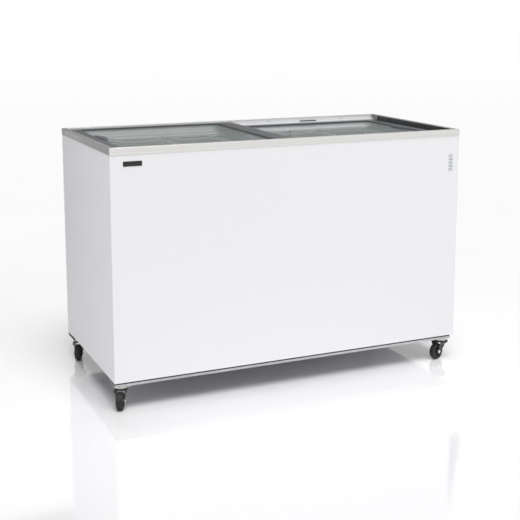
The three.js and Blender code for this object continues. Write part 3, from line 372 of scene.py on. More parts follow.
def rounded(
    low: Point2, high: Point2, radius: float, steps: int = 6
) -> list[Point2]:
    """Outline of a rectangle with rounded corners.

    Args:
        low: Its lowest corner.
        high: Its highest corner.
        radius: The corners' radius.
        steps: Segments in each corner.

    Returns:
        The outline, counter-clockwise.
    """
    (x0, y0), (x1, y1) = low, high
    r = min(radius, (x1 - x0) / 2, (y1 - y0) / 2)
    return [
        *arc((x1 - r, y0 + r), r, -90, 0, steps),
        *arc((x1 - r, y1 - r), r, 0, 90, steps),
        *arc((x0 + r, y1 - r), r, 90, 180, steps),
        *arc((x0 + r, y0 + r), r, 180, 270, steps),
    ]


def in_mm(*points: Point2) -> list[Point2]:
    """Turn points given in millimetres into metres."""
    return [(x * MM, y * MM) for x, y in points]


def circle(centre: Point2, radius: float, steps: int = 20) -> list[Point2]:
    """Outline of a circle.

    Args:
        centre: Its centre.
        radius: Its radius.
        steps: Its sides.

    Returns:
        The outline.
    """
    return arc(centre, radius, 0, 360, steps)[:-1]


def slot_hole(centre: Point2, half_length: float, half_width: float) -> list[Point2]:
    """Outline of a level slot with round ends."""
    low = (centre[0] - half_length, centre[1] - half_width)
    high = (centre[0] + half_length, centre[1] + half_width)
    return rounded(low, high, half_width, 5)


# ---- Colour and node building -------------------------------------------------------------------
def tone(code: str) -> tuple[float, float, float, float]:
    """Turn a display colour into a linear one.

    Args:
        code: Six hexadecimal digits.

    Returns:
        Linear red, green, blue and full alpha.
    """
    channels = [int(code[i : i + 2], 16) / 255 for i in (0, 2, 4)]
    linear = [c / 12.92 if c <= 0.04045 else ((c + 0.055) / 1.055) ** 2.4 for c in channels]
    return (*linear, 1.0)


class Graph:
    """Adds and links the nodes of one node tree."""

    def __init__(self, tree: bpy.types.NodeTree) -> None:
        """Work on a tree.

        Args:
            tree: A material's or a group's node tree.
        """
        self.tree = tree

    def add(self, kind: str, inputs: dict | None = None, **settings: object) -> bpy.types.Node:
        """Add a node.

        Args:
            kind: The node's type name without its "ShaderNode" beginning.
            inputs: Input names or numbers to sockets or plain values.
            settings: Attributes of the node.

        Returns:
            The node.
        """
        node = self.tree.nodes.new("ShaderNode" + kind)
        for name, value in settings.items():
            setattr(node, name, value)
        for key, value in (inputs or {}).items():
            self.feed(node.inputs[key], value)
        return node

    def feed(self, socket: Socket, value: object) -> None:
        """Link or set one input.

        Args:
            socket: The input.
            value: An output socket or a plain value.
        """
        if isinstance(value, Socket):
            self.tree.links.new(value, socket)
        else:
            socket.default_value = value

    def mixed(self, share: object, first: object, second: object) -> Socket:
        """Mix two colours.

        Args:
            share: How much of the second, as a socket or number.
            first: A colour socket or value.
            second: A colour socket or value.

        Returns:
            The mixed colour.
        """
        node = self.add("Mix", data_type="RGBA")
        self.feed(node.inputs[0], share)
        self.feed(node.inputs[6], first)
        self.feed(node.inputs[7], second)
        return node.outputs[2]

    def worked(self, operation: str, *values: object, clamp: bool = False) -> Socket:
        """Do a sum on numbers.

        Args:
            operation: The Math node's operation.
            values: Its inputs.
            clamp: Whether the result is kept between 0 and 1.

        Returns:
            The result.
        """
        node = self.add("Math", operation=operation, use_clamp=clamp)
        for socket, value in zip(node.inputs, values):
            self.feed(socket, value)
        return node.outputs[0]

    def ranged(
        self, value: object, low: float, high: float, to_low: float, to_high: float
    ) -> Socket:
        """Map a number from one range to another, kept within the new one.

        Args:
            value: The number.
            low: Old low end.
            high: Old high end.
            to_low: New low end.
            to_high: New high end.

        Returns:
            The mapped number.
        """
        ends = {"From Min": low, "From Max": high, "To Min": to_low, "To Max": to_high}
        return self.add("MapRange", {"Value": value, **ends}, clamp=True).outputs[0]


class Effect(Enum):
    """Surface effects that several finishes share, each one node group."""

    CLOUDS = "soft_clouds"
    GRAIN = "fine_grain"
    STREAKS = "drawn_streaks"
    SCUFFS = "light_scuffs"
    DUST = "settled_dust"
    WEAR = "edge_wear"
    SPANGLE = "zinc_spangle"
    EMBOSS = "stucco_emboss"


class EffectShop:
    """Builds each shared effect once and hands it out."""

    def __init__(self) -> None:
        """Start with no groups."""
        self.groups: dict[Effect, bpy.types.NodeTree] = {}

    def group(self, effect: Effect) -> bpy.types.NodeTree:
        """Give an effect's node group, built on first use.

        Args:
            effect: Which one.

        Returns:
            Its node tree.
        """
        if effect not in self.groups:
            self.groups[effect] = getattr(self, "_" + effect.value)()
        return self.groups[effect]

    def _start(
        self, effect: Effect, inputs: dict[str, float | Point3], output: str
    ) -> tuple[bpy.types.NodeTree, Graph, dict[str, Socket], bpy.types.Node, Socket]:
        """Open a new group.

        Args:
            effect: The effect.
            inputs: Input names and their usual values.
            output: The output's name.

        Returns:
            The tree, its graph, the inputs by name, the output node and object coordinates.
        """
        tree = bpy.data.node_groups.new(effect.value, "ShaderNodeTree")
        for name, value in inputs.items():
            kind = "NodeSocketVector" if isinstance(value, tuple) else "NodeSocketFloat"
            made = tree.interface.new_socket(name=name, in_out="INPUT", socket_type=kind)
            made.default_value = value
        tree.interface.new_socket(name=output, in_out="OUTPUT", socket_type="NodeSocketFloat")
        graph = Graph(tree)
        source = tree.nodes.new("NodeGroupInput")
        sink = tree.nodes.new("NodeGroupOutput")
        places = graph.add("TexCoord").outputs["Object"]
        named = {name: source.outputs[name] for name in inputs}
        return tree, graph, named, sink, places

    def _soft_clouds(self) -> bpy.types.NodeTree:
        """Build slow, soft variation between 0 and 1."""
        tree, graph, given, sink, places = self._start(Effect.CLOUDS, {"Scale": 3.0}, "Share")
        broad = graph.add("TexNoise", {"Vector": places, "Scale": given["Scale"], "Detail": 3.0})
        finer = graph.worked("MULTIPLY", given["Scale"], 7.0)
        small = graph.add("TexNoise", {"Vector": places, "Scale": finer, "Detail": 2.0})
        total = graph.worked("MULTIPLY_ADD", small.outputs[0], 0.35, broad.outputs[0])
        graph.feed(sink.inputs[0], graph.ranged(total, 0.45, 0.95, 0.0, 1.0))
        return tree

    def _fine_grain(self) -> bpy.types.NodeTree:
        """Build fine, even roughness as a height."""
        tree, graph, given, sink, places = self._start(Effect.GRAIN, {"Scale": 900.0}, "Height")
        noise = graph.add(
            "TexNoise", {"Vector": places, "Scale": given["Scale"], "Detail": 2.0, "Roughness": 0.6}
        )
        graph.feed(sink.inputs[0], noise.outputs[0])
        return tree

    def _drawn_streaks(self) -> bpy.types.NodeTree:
        """Build long streaks, stretched by a direction of three scales."""
        tree, graph, given, sink, places = self._start(
            Effect.STREAKS, {"Direction": (2.0, 300.0, 300.0)}, "Height"
        )
        stretched = graph.add(
            "VectorMath", {0: places, 1: given["Direction"]}, operation="MULTIPLY"
        )
        noise = graph.add("TexNoise", {
            "Vector": stretched.outputs[0], "Scale": 1.0, "Detail": 4.0, "Roughness": 0.7,
        })
        graph.feed(sink.inputs[0], noise.outputs[0])
        return tree

    def _light_scuffs(self) -> bpy.types.NodeTree:
        """Build sparse thin rub marks in a few patches."""
        tree, graph, given, sink, places = self._start(
            Effect.SCUFFS, {"Scale": 8.0, "Amount": 0.3}, "Mask"
        )
        turned = graph.add(
            "Mapping", {"Vector": places, "Rotation": (0.5, 0.35, 0.6), "Scale": (1.0, 14.0, 1.6)}
        )
        finer = graph.worked("MULTIPLY", given["Scale"], 9.0)
        lines = graph.add("TexNoise", {
            "Vector": turned.outputs[0], "Scale": finer, "Detail": 5.0, "Roughness": 0.75,
        })
        thin = graph.ranged(lines.outputs[0], 0.62, 0.70, 0.0, 1.0)
        patches = graph.add("TexNoise", {"Vector": places, "Scale": given["Scale"], "Detail": 1.0})
        where = graph.ranged(patches.outputs[0], 0.5, 0.68, 0.0, 1.0)
        shown = graph.worked("MULTIPLY", thin, where)
        graph.feed(sink.inputs[0], graph.worked("MULTIPLY", shown, given["Amount"], clamp=True))
        return tree

    def _settled_dust(self) -> bpy.types.NodeTree:
        """Build dust that lies on faces turned upwards."""
        tree, graph, given, sink, places = self._start(
            Effect.DUST, {"Scale": 12.0, "Amount": 0.3}, "Mask"
        )
        facing = graph.add("NewGeometry").outputs["Normal"]
        upright = graph.add("SeparateXYZ", {0: facing}).outputs["Z"]
        lying = graph.ranged(upright, 0.2, 0.95, 0.0, 1.0)
        noise = graph.add("TexNoise", {
            "Vector": places, "Scale": given["Scale"], "Detail": 6.0, "Roughness": 0.65,
        })
        patchy = graph.ranged(noise.outputs[0], 0.3, 0.75, 0.15, 1.0)
        shown = graph.worked("MULTIPLY", lying, patchy)
        graph.feed(sink.inputs[0], graph.worked("MULTIPLY", shown, given["Amount"], clamp=True))
        return tree

    def _edge_wear(self) -> bpy.types.NodeTree:
        """Build a mask on worked edges, broken up by noise."""
        tree, graph, given, sink, places = self._start(
            Effect.WEAR, {"Scale": 40.0, "Amount": 0.3}, "Mask"
        )
        sharp = graph.ranged(graph.add("NewGeometry").outputs["Pointiness"], 0.52, 0.6, 0.0, 1.0)
        noise = graph.add("TexNoise", {"Vector": places, "Scale": given["Scale"], "Detail": 4.0})
        broken = graph.ranged(noise.outputs[0], 0.4, 0.62, 0.0, 1.0)
        shown = graph.worked("MULTIPLY", sharp, broken)
        graph.feed(sink.inputs[0], graph.worked("MULTIPLY", shown, given["Amount"], clamp=True))
        return tree

    def _zinc_spangle(self) -> bpy.types.NodeTree:
        """Build the crystal patches of galvanised sheet, from 0 to 1."""
        tree, graph, given, sink, places = self._start(Effect.SPANGLE, {"Scale": 90.0}, "Share")
        warp = graph.add("TexNoise", {"Vector": places, "Scale": 60.0, "Detail": 2.0})
        shifted = graph.add(
            "VectorMath", {0: warp.outputs[1], 1: (0.012, 0.012, 0.012), 2: places},
            operation="MULTIPLY_ADD",
        )
        cells = graph.add("TexVoronoi", {"Vector": shifted.outputs[0], "Scale": given["Scale"]})
        split = graph.add("SeparateColor", {0: cells.outputs["Color"]})
        graph.feed(sink.inputs[0], split.outputs[0])
        return tree

    def _stucco_emboss(self) -> bpy.types.NodeTree:
        """Build the pebbled height of stucco-embossed sheet."""
        tree, graph, given, sink, places = self._start(Effect.EMBOSS, {"Scale": 160.0}, "Height")
        warp = graph.add("TexNoise", {"Vector": places, "Scale": 120.0, "Detail": 1.0})
        shifted = graph.add(
            "VectorMath", {0: warp.outputs[1], 1: (0.008, 0.008, 0.008), 2: places},
            operation="MULTIPLY_ADD",
        )
        cells = graph.add(
            "TexVoronoi", {"Vector": shifted.outputs[0], "Scale": given["Scale"]},
            feature="SMOOTH_F1",
        )
        graph.feed(sink.inputs[0], graph.ranged(cells.outputs[0], 0.15, 0.6, 1.0, 0.0))
        return tree


EFFECTS = EffectShop()


# ---- Finishes -----------------------------------------------------------------------------------
@dataclass(frozen=True)
class Finish:
    """A surface finish: two near tones, its gloss, and the small marks that break it up."""

    name: str
    light: str
    dark: str
    metallic: float = 0.0
    gloss_from: float = 0.35
    gloss_to: float = 0.45
    cloud_scale: float = 3.0
    grain_scale: float = 900.0
    grain_depth: float = 0.00002
    streaks: Point3 | None = None
    streak_depth: float = 0.0
    scuffs: float = 0.0
    scuff_tone: str = "ffffff"
    dust: float = 0.0
    dust_tone: str = "b9b4aa"
    wear: float = 0.0
    wear_tone: str = "ffffff"
    coat: float = 0.0
    spangle: float = 0.0
    emboss: float = 0.0
    index: float = 1.5

    def made(self) -> bpy.types.Material:
        """Give the finish's material, built on first use.

        Returns:
            The material.
        """
        kept = bpy.data.materials.get(self.name)
        return kept if kept is not None else self._build()

    def _effect(self, graph: Graph, effect: Effect, **inputs: object) -> Socket:
        """Place a shared effect.

        Args:
            graph: The material's graph.
            effect: Which effect.
            inputs: Its values.

        Returns:
            Its output.
        """
        node = graph.add("Group", node_tree=EFFECTS.group(effect))
        for name, value in inputs.items():
            graph.feed(node.inputs[name], value)
        return node.outputs[0]

    def _build(self) -> bpy.types.Material:
        """Build the material.

        Returns:
            The new material.
        """
        material = bpy.data.materials.new(self.name)
        material.use_nodes = True
        tree = material.node_tree
        graph = Graph(tree)
        shader = tree.nodes["Principled BSDF"]
        clouds = self._effect(graph, Effect.CLOUDS, Scale=self.cloud_scale)
        colour = graph.mixed(clouds, tone(self.dark), tone(self.light))
        gloss = graph.ranged(clouds, 0.0, 1.0, self.gloss_to, self.gloss_from)
        height = self._effect(graph, Effect.GRAIN, Scale=self.grain_scale)
        depth = self.grain_depth
        if self.streaks is not None:
            drawn = self._effect(graph, Effect.STREAKS, Direction=self.streaks)
            colour = graph.mixed(graph.ranged(drawn, 0.3, 0.7, 0.0, 0.35), colour, tone(self.dark))
            gloss = graph.worked("MULTIPLY_ADD", drawn, 0.14, gloss)
            height, depth = drawn, max(self.streak_depth, 0.00001)
        if self.spangle > 0:
            crystals = self._effect(graph, Effect.SPANGLE, Scale=95.0)
            share = graph.worked("MULTIPLY", crystals, self.spangle)
            colour = graph.mixed(share, colour, tone(self.dark))
            gloss = graph.worked("MULTIPLY_ADD", crystals, 0.16, gloss)
        if self.emboss > 0:
            height, depth = self._effect(graph, Effect.EMBOSS, Scale=150.0), self.emboss
        if self.scuffs > 0:
            marks = self._effect(graph, Effect.SCUFFS, Scale=8.0, Amount=self.scuffs)
            colour = graph.mixed(marks, colour, tone(self.scuff_tone))
            gloss = graph.worked("MULTIPLY_ADD", marks, 0.2, gloss)
        if self.wear > 0:
            worn = self._effect(graph, Effect.WEAR, Scale=55.0, Amount=self.wear)
            colour = graph.mixed(worn, colour, tone(self.wear_tone))
        if self.dust > 0:
            lying = self._effect(graph, Effect.DUST, Scale=14.0, Amount=self.dust)
            colour = graph.mixed(lying, colour, tone(self.dust_tone))
            gloss = graph.worked("MULTIPLY_ADD", lying, 0.45, gloss, clamp=True)
        bump = graph.add("Bump", {"Height": height, "Distance": depth})
        graph.feed(shader.inputs["Base Color"], colour)
        graph.feed(shader.inputs["Roughness"], gloss)
        graph.feed(shader.inputs["Normal"], bump.outputs[0])
        shader.inputs["Metallic"].default_value = self.metallic
        shader.inputs["IOR"].default_value = self.index
        shader.inputs["Coat Weight"].default_value = self.coat
        shader.inputs["Coat Roughness"].default_value = 0.12
        material.diffuse_color = tone(self.light)
        return material


@dataclass(frozen=True)
class Pane:
    """Clear glass that lets lamps through to what lies behind it."""

    name: str
    tint: str
    shade: str
    roughness: float = 0.02

    def made(self) -> bpy.types.Material:
        """Give the pane's material, built on first use.

        Returns:
            The material.
        """
        kept = bpy.data.materials.get(self.name)
        if kept is not None:
            return kept
        material = bpy.data.materials.new(self.name)
        material.use_nodes = True
        tree = material.node_tree
        graph = Graph(tree)
        shader = tree.nodes["Principled BSDF"]
        shader.inputs["Base Color"].default_value = tone(self.tint)
        shader.inputs["Transmission Weight"].default_value = 1.0
        shader.inputs["Metallic"].default_value = 0.0
        shader.inputs["IOR"].default_value = 1.5
        smears = graph.add("Group", node_tree=EFFECTS.group(Effect.CLOUDS))
        smears.inputs["Scale"].default_value = 5.0
        graph.feed(
            shader.inputs["Roughness"],
            graph.ranged(smears.outputs[0], 0.2, 1.0, self.roughness, self.roughness + 0.05),
        )
        clear = graph.add("BsdfTransparent", {"Color": tone(self.shade)})
        path = graph.add("LightPath")
        lit = graph.add("MixShader", {0: path.outputs["Is Shadow Ray"]})
        graph.feed(lit.inputs[1], shader.outputs[0])
        graph.feed(lit.inputs[2], clear.outputs[0])
        graph.feed(tree.nodes["Material Output"].inputs["Surface"], lit.outputs[0])
        return material


WHITE_PAINT = Finish(
    "white_paint", "f2f2f3", "ebebec", gloss_from=0.30, gloss_to=0.38, cloud_scale=1.6,
    grain_scale=520.0, grain_depth=0.00003, scuffs=0.10, scuff_tone="cfcfcf", coat=0.25,
    dust=0.15,
)
FRAME_METAL = Finish(
    "anodised_frame", "b0b1b5", "a2a4a8", metallic=0.6, gloss_from=0.34, gloss_to=0.46,
    cloud_scale=4.0, streaks=(3.0, 260.0, 260.0), streak_depth=0.000012, wear=0.25,
    wear_tone="d6d6d7", scuffs=0.08,
)
# Darker, warmer copy of the frame finish for the left and right lengths: painted shade for the ends
# turned away from the light. Its streaks run along Y.
FRAME_METAL_SHADED_SIDE = Finish(
    "anodised_frame_painted_shade_side", "aaa9a8", "989796", metallic=0.6, gloss_from=0.34, gloss_to=0.46,
    cloud_scale=4.0, streaks=(260.0, 3.0, 260.0), streak_depth=0.000012, wear=0.25,
    wear_tone="d2d0cd", scuffs=0.08,
)
TRACK_LIGHT = Finish(
    "track_extrusion", "f1f1f2", "e4e4e6", gloss_from=0.32, gloss_to=0.44,
    streaks=(4.0, 300.0, 300.0), streak_depth=0.00001, dust=0.25,
)
TRACK_DARK = Finish(
    "dark_track_plastic", "46484b", "3a3c3f", gloss_from=0.38, gloss_to=0.5, grain_scale=1100.0,
    grain_depth=0.00003, dust=0.3, dust_tone="8a8884",
)
LID_PLASTIC = Finish(
    "lid_frame_plastic", "5b5d60", "505256", gloss_from=0.34, gloss_to=0.46, grain_scale=1300.0,
    grain_depth=0.00003, scuffs=0.25, scuff_tone="8b8d90", wear=0.25, wear_tone="7d7f82",
    dust=0.12, dust_tone="9a9890",
)
GRIP_PLASTIC = Finish(
    "grip_plastic", "7a7d81", "6c6f73", gloss_from=0.3, gloss_to=0.42, grain_scale=1200.0,
    grain_depth=0.00003, scuffs=0.3, scuff_tone="9c9fa2", wear=0.3, wear_tone="9a9da0",
)
# Dark rubber for the lid gaskets and catches; the strips along the base channels use it as painted
# shade.
GASKET_AND_PAINTED_SHADE = Finish(
    "black_gasket_and_painted_shade", "2c2d2f", "222325", gloss_from=0.5, gloss_to=0.62, grain_scale=700.0,
    dust=0.3, dust_tone="77746e",
)
LINER_METAL = Finish(
    "embossed_liner", "c9cacb", "b9babb", metallic=0.35, gloss_from=0.36, gloss_to=0.5,
    cloud_scale=2.0, emboss=0.0004, scuffs=0.15, dust=0.1,
)
WIRE_COAT = Finish(
    "coated_wire", "94959a", "82848a", metallic=0.2, gloss_from=0.28, gloss_to=0.4,
    grain_scale=500.0, grain_depth=0.00004, wear=0.3, wear_tone="6d6b69",
)
ZINC = Finish(
    "galvanised_sheet", "d0d0d2", "b4b4b7", metallic=0.7, gloss_from=0.3, gloss_to=0.46,
    spangle=0.6, grain_scale=400.0, dust=0.2, scuffs=0.25,
)
BRIGHT_ZINC = Finish(
    "bright_zinc", "e9e7e0", "cfccc3", metallic=0.3, gloss_from=0.2, gloss_to=0.36,
    cloud_scale=30.0, grain_scale=500.0, wear=0.3, wear_tone="f7f4ea",
)
BLACK_ENAMEL = Finish(
    "black_enamel", "1c1c1d", "121213", gloss_from=0.28, gloss_to=0.42, cloud_scale=14.0,
    grain_scale=420.0, grain_depth=0.00005, wear=0.35, wear_tone="5c5b59", dust=0.25,
    dust_tone="6b675f", coat=0.2,
)
TREAD_RUBBER = Finish(
    "tread_rubber", "262627", "1a1a1b", gloss_from=0.6, gloss_to=0.78, cloud_scale=25.0,
    grain_scale=260.0, grain_depth=0.00012, dust=0.35, dust_tone="6f6b64", scuffs=0.5,
    scuff_tone="5c5a57",
)
WHEEL_CORE = Finish(
    "wheel_core_plastic", "242425", "191919", gloss_from=0.38, gloss_to=0.5, grain_scale=800.0,
    dust=0.25, dust_tone="6b675f",
)
COPPER = Finish(
    "drawn_copper", "c98a62", "a9663f", metallic=0.95, gloss_from=0.26, gloss_to=0.45,
    cloud_scale=18.0, grain_scale=300.0, dust=0.2,
)
FIN_METAL = Finish(
    "fin_stock", "b9bbbd", "9a9c9e", metallic=0.8, gloss_from=0.35, gloss_to=0.5,
    streaks=(300.0, 4.0, 300.0), streak_depth=0.00002, dust=0.55, dust_tone="857f75",
)
BADGE_GLOSS = Finish(
    "badge_black", "0b0b0c", "080809", gloss_from=0.3, gloss_to=0.4, grain_scale=200.0,
    grain_depth=0.00001, index=1.25,
)
LABEL_FILM = Finish(
    "label_film", "e3e4e6", "dadbdd", gloss_from=0.25, gloss_to=0.32, grain_scale=300.0,
    grain_depth=0.00001, coat=0.2,
)
LABEL_INK = Finish(
    "label_ink", "b4b8bd", "abafb5", gloss_from=0.3, gloss_to=0.4, grain_scale=300.0,
    grain_depth=0.00001,
)
WHITE_PLASTIC = Finish(
    "white_plastic", "ececed", "dedfe0", gloss_from=0.24, gloss_to=0.36, grain_scale=900.0,
    scuffs=0.2, scuff_tone="bdbdbd", coat=0.1,
)
DARK_PLASTIC = Finish(
    "dark_plastic", "37393b", "2b2d2f", gloss_from=0.36, gloss_to=0.5, grain_scale=1300.0,
    grain_depth=0.00004, dust=0.3, dust_tone="8a867e", wear=0.2, wear_tone="6a6b6d",
)
FOAM = Finish(
    "insulation_foam", "e9dcb2", "d8c791", gloss_from=0.85, gloss_to=0.95, cloud_scale=20.0,
    grain_scale=350.0, grain_depth=0.0004,
)
POLISHED_STEEL = Finish(
    "screw_steel", "e2e2e0", "c9c9c6", metallic=0.9, gloss_from=0.2, gloss_to=0.32,
    cloud_scale=60.0, grain_scale=900.0,
)
LID_GLASS = Pane("lid_glass", "d3d6d5", "bfc3c2")
STUDIO_FLOOR = Finish(
    "studio_floor", "fafafb", "f8f8f9", gloss_from=0.06, gloss_to=0.09, grain_scale=30.0,
    grain_depth=0.0, index=2.0,
)
STUDIO_CARD = Finish("studio_card", "3c3d3f", "37383a", gloss_from=0.9, gloss_to=0.95)


# ---- Pieces ------------------------------------------------------------------------------------
@dataclass
class Maker:
    """Turns forms into finished pieces that ride on the frame's bodies."""

    made: list[str] = field(default_factory=list)

    def piece(
        self,
        name: str,
        form: Form,
        finish: Finish | Pane,
        body: str,
        slot: str,
        replaces: Sequence[str] = (),
        sharp: float = 32.0,
    ) -> bpy.types.Object:
        """slot: The record's material slot; not used.
            replaces: Frame nodes it stands for.
            sharp: Edges bent by more degrees than this stay crisp.

        Returns:
            The object.
        """
        mesh = bpy.data.meshes.new(name)
        form.mesh.to_mesh(mesh)
        form.mesh.free()
        mesh.shade_smooth()
        mesh.set_sharp_from_angle(angle=math.radians(sharp))
        mesh.materials.append(finish.made())
        thing = bpy.data.objects.new(name, mesh)
        bpy.context.scene.collection.objects.link(thing)
        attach(thing, body)
        if replaces:
            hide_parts(*replaces)
        self.made.append(name)
        LOG.info("%s rides on %s, %d faces", name, body, len(mesh.polygons))
        return thing

    def dress(self, node: str, finish: Finish | Pane) -> None:
        """Give a frame node that stays a better finish.

        Args:
            node: The node's name.
            finish: Its finish.
        """
        thing = frame["nodes"][node]
        thing.data.materials.clear()
        thing.data.materials.append(finish.made())
        LOG.info("%s keeps its frame shape, in %s", node, finish.name)


def screw_head(form: Form, place: Matrix, radius: float, height: float) -> None:
    """Add a domed cross-head screw.

    Args:
        form: The form to add to.
        place: Puts the head, which faces local +Z from its seat at 0.
        radius: The head's radius.
        height: The head's height.
    """
    profile = [(0.0, height * 0.62), (radius * 0.34, height * 0.62), (radius * 0.36, height)]
    profile += [(radius * 0.7, height * 0.86), (radius, height * 0.25), (radius, 0.0), (0.0, 0.0)]
    form.turned(profile, 14, place)
    for angle in (0, 90):
        low = (-radius * 0.32, -radius * 0.06, height * 0.6)
        high = (radius * 0.32, radius * 0.06, height * 0.7)
        form.block(low, high, 0.0, matrix=place @ turn("Z", angle))


def hex_head(form: Form, place: Matrix, radius: float, height: float) -> None:
    """Add a hexagon bolt head with a washer.

    Args:
        form: The form to add to.
        place: Puts the head, which faces local +Z from its seat at 0.
        radius: Centre to corner.
        height: Head height over the washer.
    """
    washer = radius * 1.28
    thick = height * 0.22
    rim = [(0.0, 0.0), (washer, 0.0), (washer, thick), (0.0, thick)]
    form.turned(rim, 20, place)
    form.turned(
        [(0.0, thick * 0.5), (radius, thick * 0.5), (radius, height), (radius * 0.8, height * 1.15),
         (0.0, height * 1.15)],
        6,
        place,
    )


@dataclass
class Cabinet:
    """The painted outer panels, with the badge and the small side label."""

    maker: Maker
    sheet: float = 0.8 * MM
    corner: float = 2.2 * MM
    returned: float = 12 * MM
    screw_radius: float = 4.2 * MM
    label_size: Point2 = (21 * MM, 70 * MM)

    def build(self) -> None:
        """Build every panel and its trim."""
        self._front()
        for side in (-1, 1):
            self._side(side)
        self._back()
        self._badge()
        self._label()

    def _front(self) -> None:
        """Build the front sheet with its rolled upright corners and folded foot."""
        box = Extent.of("front_panel")
        x, y = box.high.x, box.low.y
        r, t = self.corner, self.sheet
        outer = [
            (-x, box.high.y),
            *arc((-x + r, y + r), r, 180, 270, 5),
            *arc((x - r, y + r), r, 270, 360, 5),
            (x, box.high.y),
        ]
        inner = [
            (x - t, box.high.y),
            *arc((x - r, y + r), r - t, 360, 270, 5),
            *arc((-x + r, y + r), r - t, 270, 180, 5),
            (-x + t, box.high.y),
        ]
        form = Form()
        form.extrusion([*outer, *inner], box.low.z + t, box.high.z, Matrix.Identity(4))
        form.extrusion(
            [(y + r, box.low.z), (box.high.y, box.low.z), (box.high.y, box.low.z + t),
             (y + r, box.low.z + t)],
            -x + r, x - r, ALONG_X,
        )
        form.extrusion(
            [*arc((y + r, box.low.z + r), r, 180, 270, 4),
             *arc((y + r, box.low.z + r), r - t, 270, 180, 4)],
            -x + r, x - r, ALONG_X,
        )
        self.maker.piece(
            "front_sheet", form, WHITE_PAINT, CABINET, "white_paint", ["front_panel"]
        )

    def _side(self, side: int) -> None:
        """Build a side sheet with its folded foot.

        Args:
            side: -1 for the left, 1 for the right.
        """
        name = "side_panel_left" if side < 0 else "side_panel_right"
        box = Extent.of(name)
        x = max(abs(box.low.x), abs(box.high.x))
        r, t = self.corner, self.sheet
        low, high = box.low.z, box.high.z
        outline = [
            (x - self.returned, low),
            *arc((x - r, low + r), r, 270, 360, 4),
            (x, high),
            (x - t, high),
            *arc((x - r, low + r), r - t, 360, 270, 4),
            (x - self.returned, low + t),
        ]
        form = Form()
        matrix = ALONG_Y if side > 0 else mirrored("X") @ ALONG_Y
        form.extrusion(outline, -box.high.y, -box.low.y, matrix)
        self.maker.piece(
            name.replace("panel", "sheet"), form, WHITE_PAINT, CABINET, "white_paint", [name]
        )

    def _back(self) -> None:
        """Build the back sheet with its cut-outs and a border of screws."""
        box = Extent.of("back_panel")
        grille = Extent.of("rear_grille")
        cup = Extent.of("thermostat_housing")
        gland = Extent.of("cord_gland")
        inset = 12 * MM
        rim = 5 * MM
        holes = [
            rounded((grille.low.x + inset, grille.low.z + inset),
                    (grille.high.x - inset, grille.high.z - inset), 4 * MM, 3),
            rounded((cup.low.x + rim, cup.low.z + rim),
                    (cup.high.x - rim, cup.high.z - rim), 2 * MM, 3),
            circle((gland.middle.x, gland.middle.z), 8.3 * MM),
        ]
        matrix = moved(0, box.middle.y, 0) @ turn("X", 90)
        form = Form()
        outline = rounded((box.low.x, box.low.z), (box.high.x, box.high.z), 1 * MM, 2)
        half = box.size.y / 2
        form.plate(outline, holes, -half, half, 0.15 * MM, 1, matrix)
        self.maker.piece("back_sheet", form, WHITE_PAINT, CABINET, "white_paint", ["back_panel"])
        screws = Form()
        count = 9
        for i in range(count):
            x = box.low.x + 18 * MM + (box.size.x - 36 * MM) * i / (count - 1)
            self._back_screw(screws, x, box.low.z + 14 * MM, box.high.y)
            self._back_screw(screws, x, box.high.z - 40 * MM, box.high.y)
        for i in range(1, 4):
            z = box.low.z + 14 * MM + (box.size.z - 54 * MM) * i / 4
            self._back_screw(screws, box.low.x + 18 * MM, z, box.high.y)
            self._back_screw(screws, box.high.x - 18 * MM, z, box.high.y)
        self.maker.piece("back_screws", screws, POLISHED_STEEL, CABINET, "galvanised")

    def _back_screw(self, form: Form, x: float, z: float, y: float) -> None:
        """Add a screw to the back sheet.

        Args:
            form: The screws' form.
            x: Its place along the cabinet.
            z: Its height.
            y: The sheet's outer face.
        """
        place = moved(x, y, z) @ turn("X", -90) @ turn("Z", RANDOM.uniform(0, 90))
        screw_head(form, place, self.screw_radius, 2.2 * MM)

    def _badge(self) -> None:
        """Build the blank badge: a glossy plate in a thin black enamel rim."""
        box = Extent.of("badge_plate")
        matrix = moved(0, box.high.y, 0) @ turn("X", 90)
        low, high = (box.low.x, box.low.z), (box.high.x, box.high.z)
        rim = 0.9 * MM
        inside = ((low[0] + rim, low[1] + rim), (high[0] - rim, high[1] - rim))
        plate = Form()
        plate.plate(rounded(*inside, 1.2 * MM, 4), [], 0.05 * MM, 1.1 * MM, 0.2 * MM, 2, matrix)
        self.maker.piece(
            "badge_face", plate, BADGE_GLOSS, CABINET, "badge_black", ["badge_plate"]
        )
        border = Form()
        border.plate(
            rounded(low, high, 2.0 * MM, 4), [rounded(*inside, 1.2 * MM, 4)],
            0.0, box.size.y, 0.25 * MM, 2, matrix,
        )
        self.maker.piece("badge_rim", border, BLACK_ENAMEL, CABINET, "badge_black")

    def _label(self) -> None:
        """Build the narrow upright label near the right-hand end of the front."""
        front = Extent.of("front_panel")
        width, height = self.label_size
        right = front.high.x - 26 * MM
        bottom = front.high.z - 160 * MM
        matrix = moved(0, front.low.y, 0) @ turn("X", 90)
        film = Form()
        low, high = (right - width, bottom), (right, bottom + height)
        film.plate(rounded(low, high, 1.5 * MM, 4), [], 0.02 * MM, 0.25 * MM, 0.05 * MM, 1, matrix)
        self.maker.piece("side_label", film, LABEL_FILM, CABINET, "white_plastic")
        bars = Form()
        rows = 5
        pitch = height / (rows + 0.5)
        for i in range(rows):
            z = bottom + pitch * (i + 0.45)
            reach = width * (0.72 if i % 2 else 0.55)
            start = low[0] + 3 * MM
            bar = rounded((start, z), (start + reach, z + pitch * 0.5), 0.8 * MM, 3)
            bars.plate(bar, [], 0.25 * MM, 0.32 * MM, 0.0, 1, matrix)
        self.maker.piece("side_label_bars", bars, LABEL_INK, CABINET, "white_plastic")


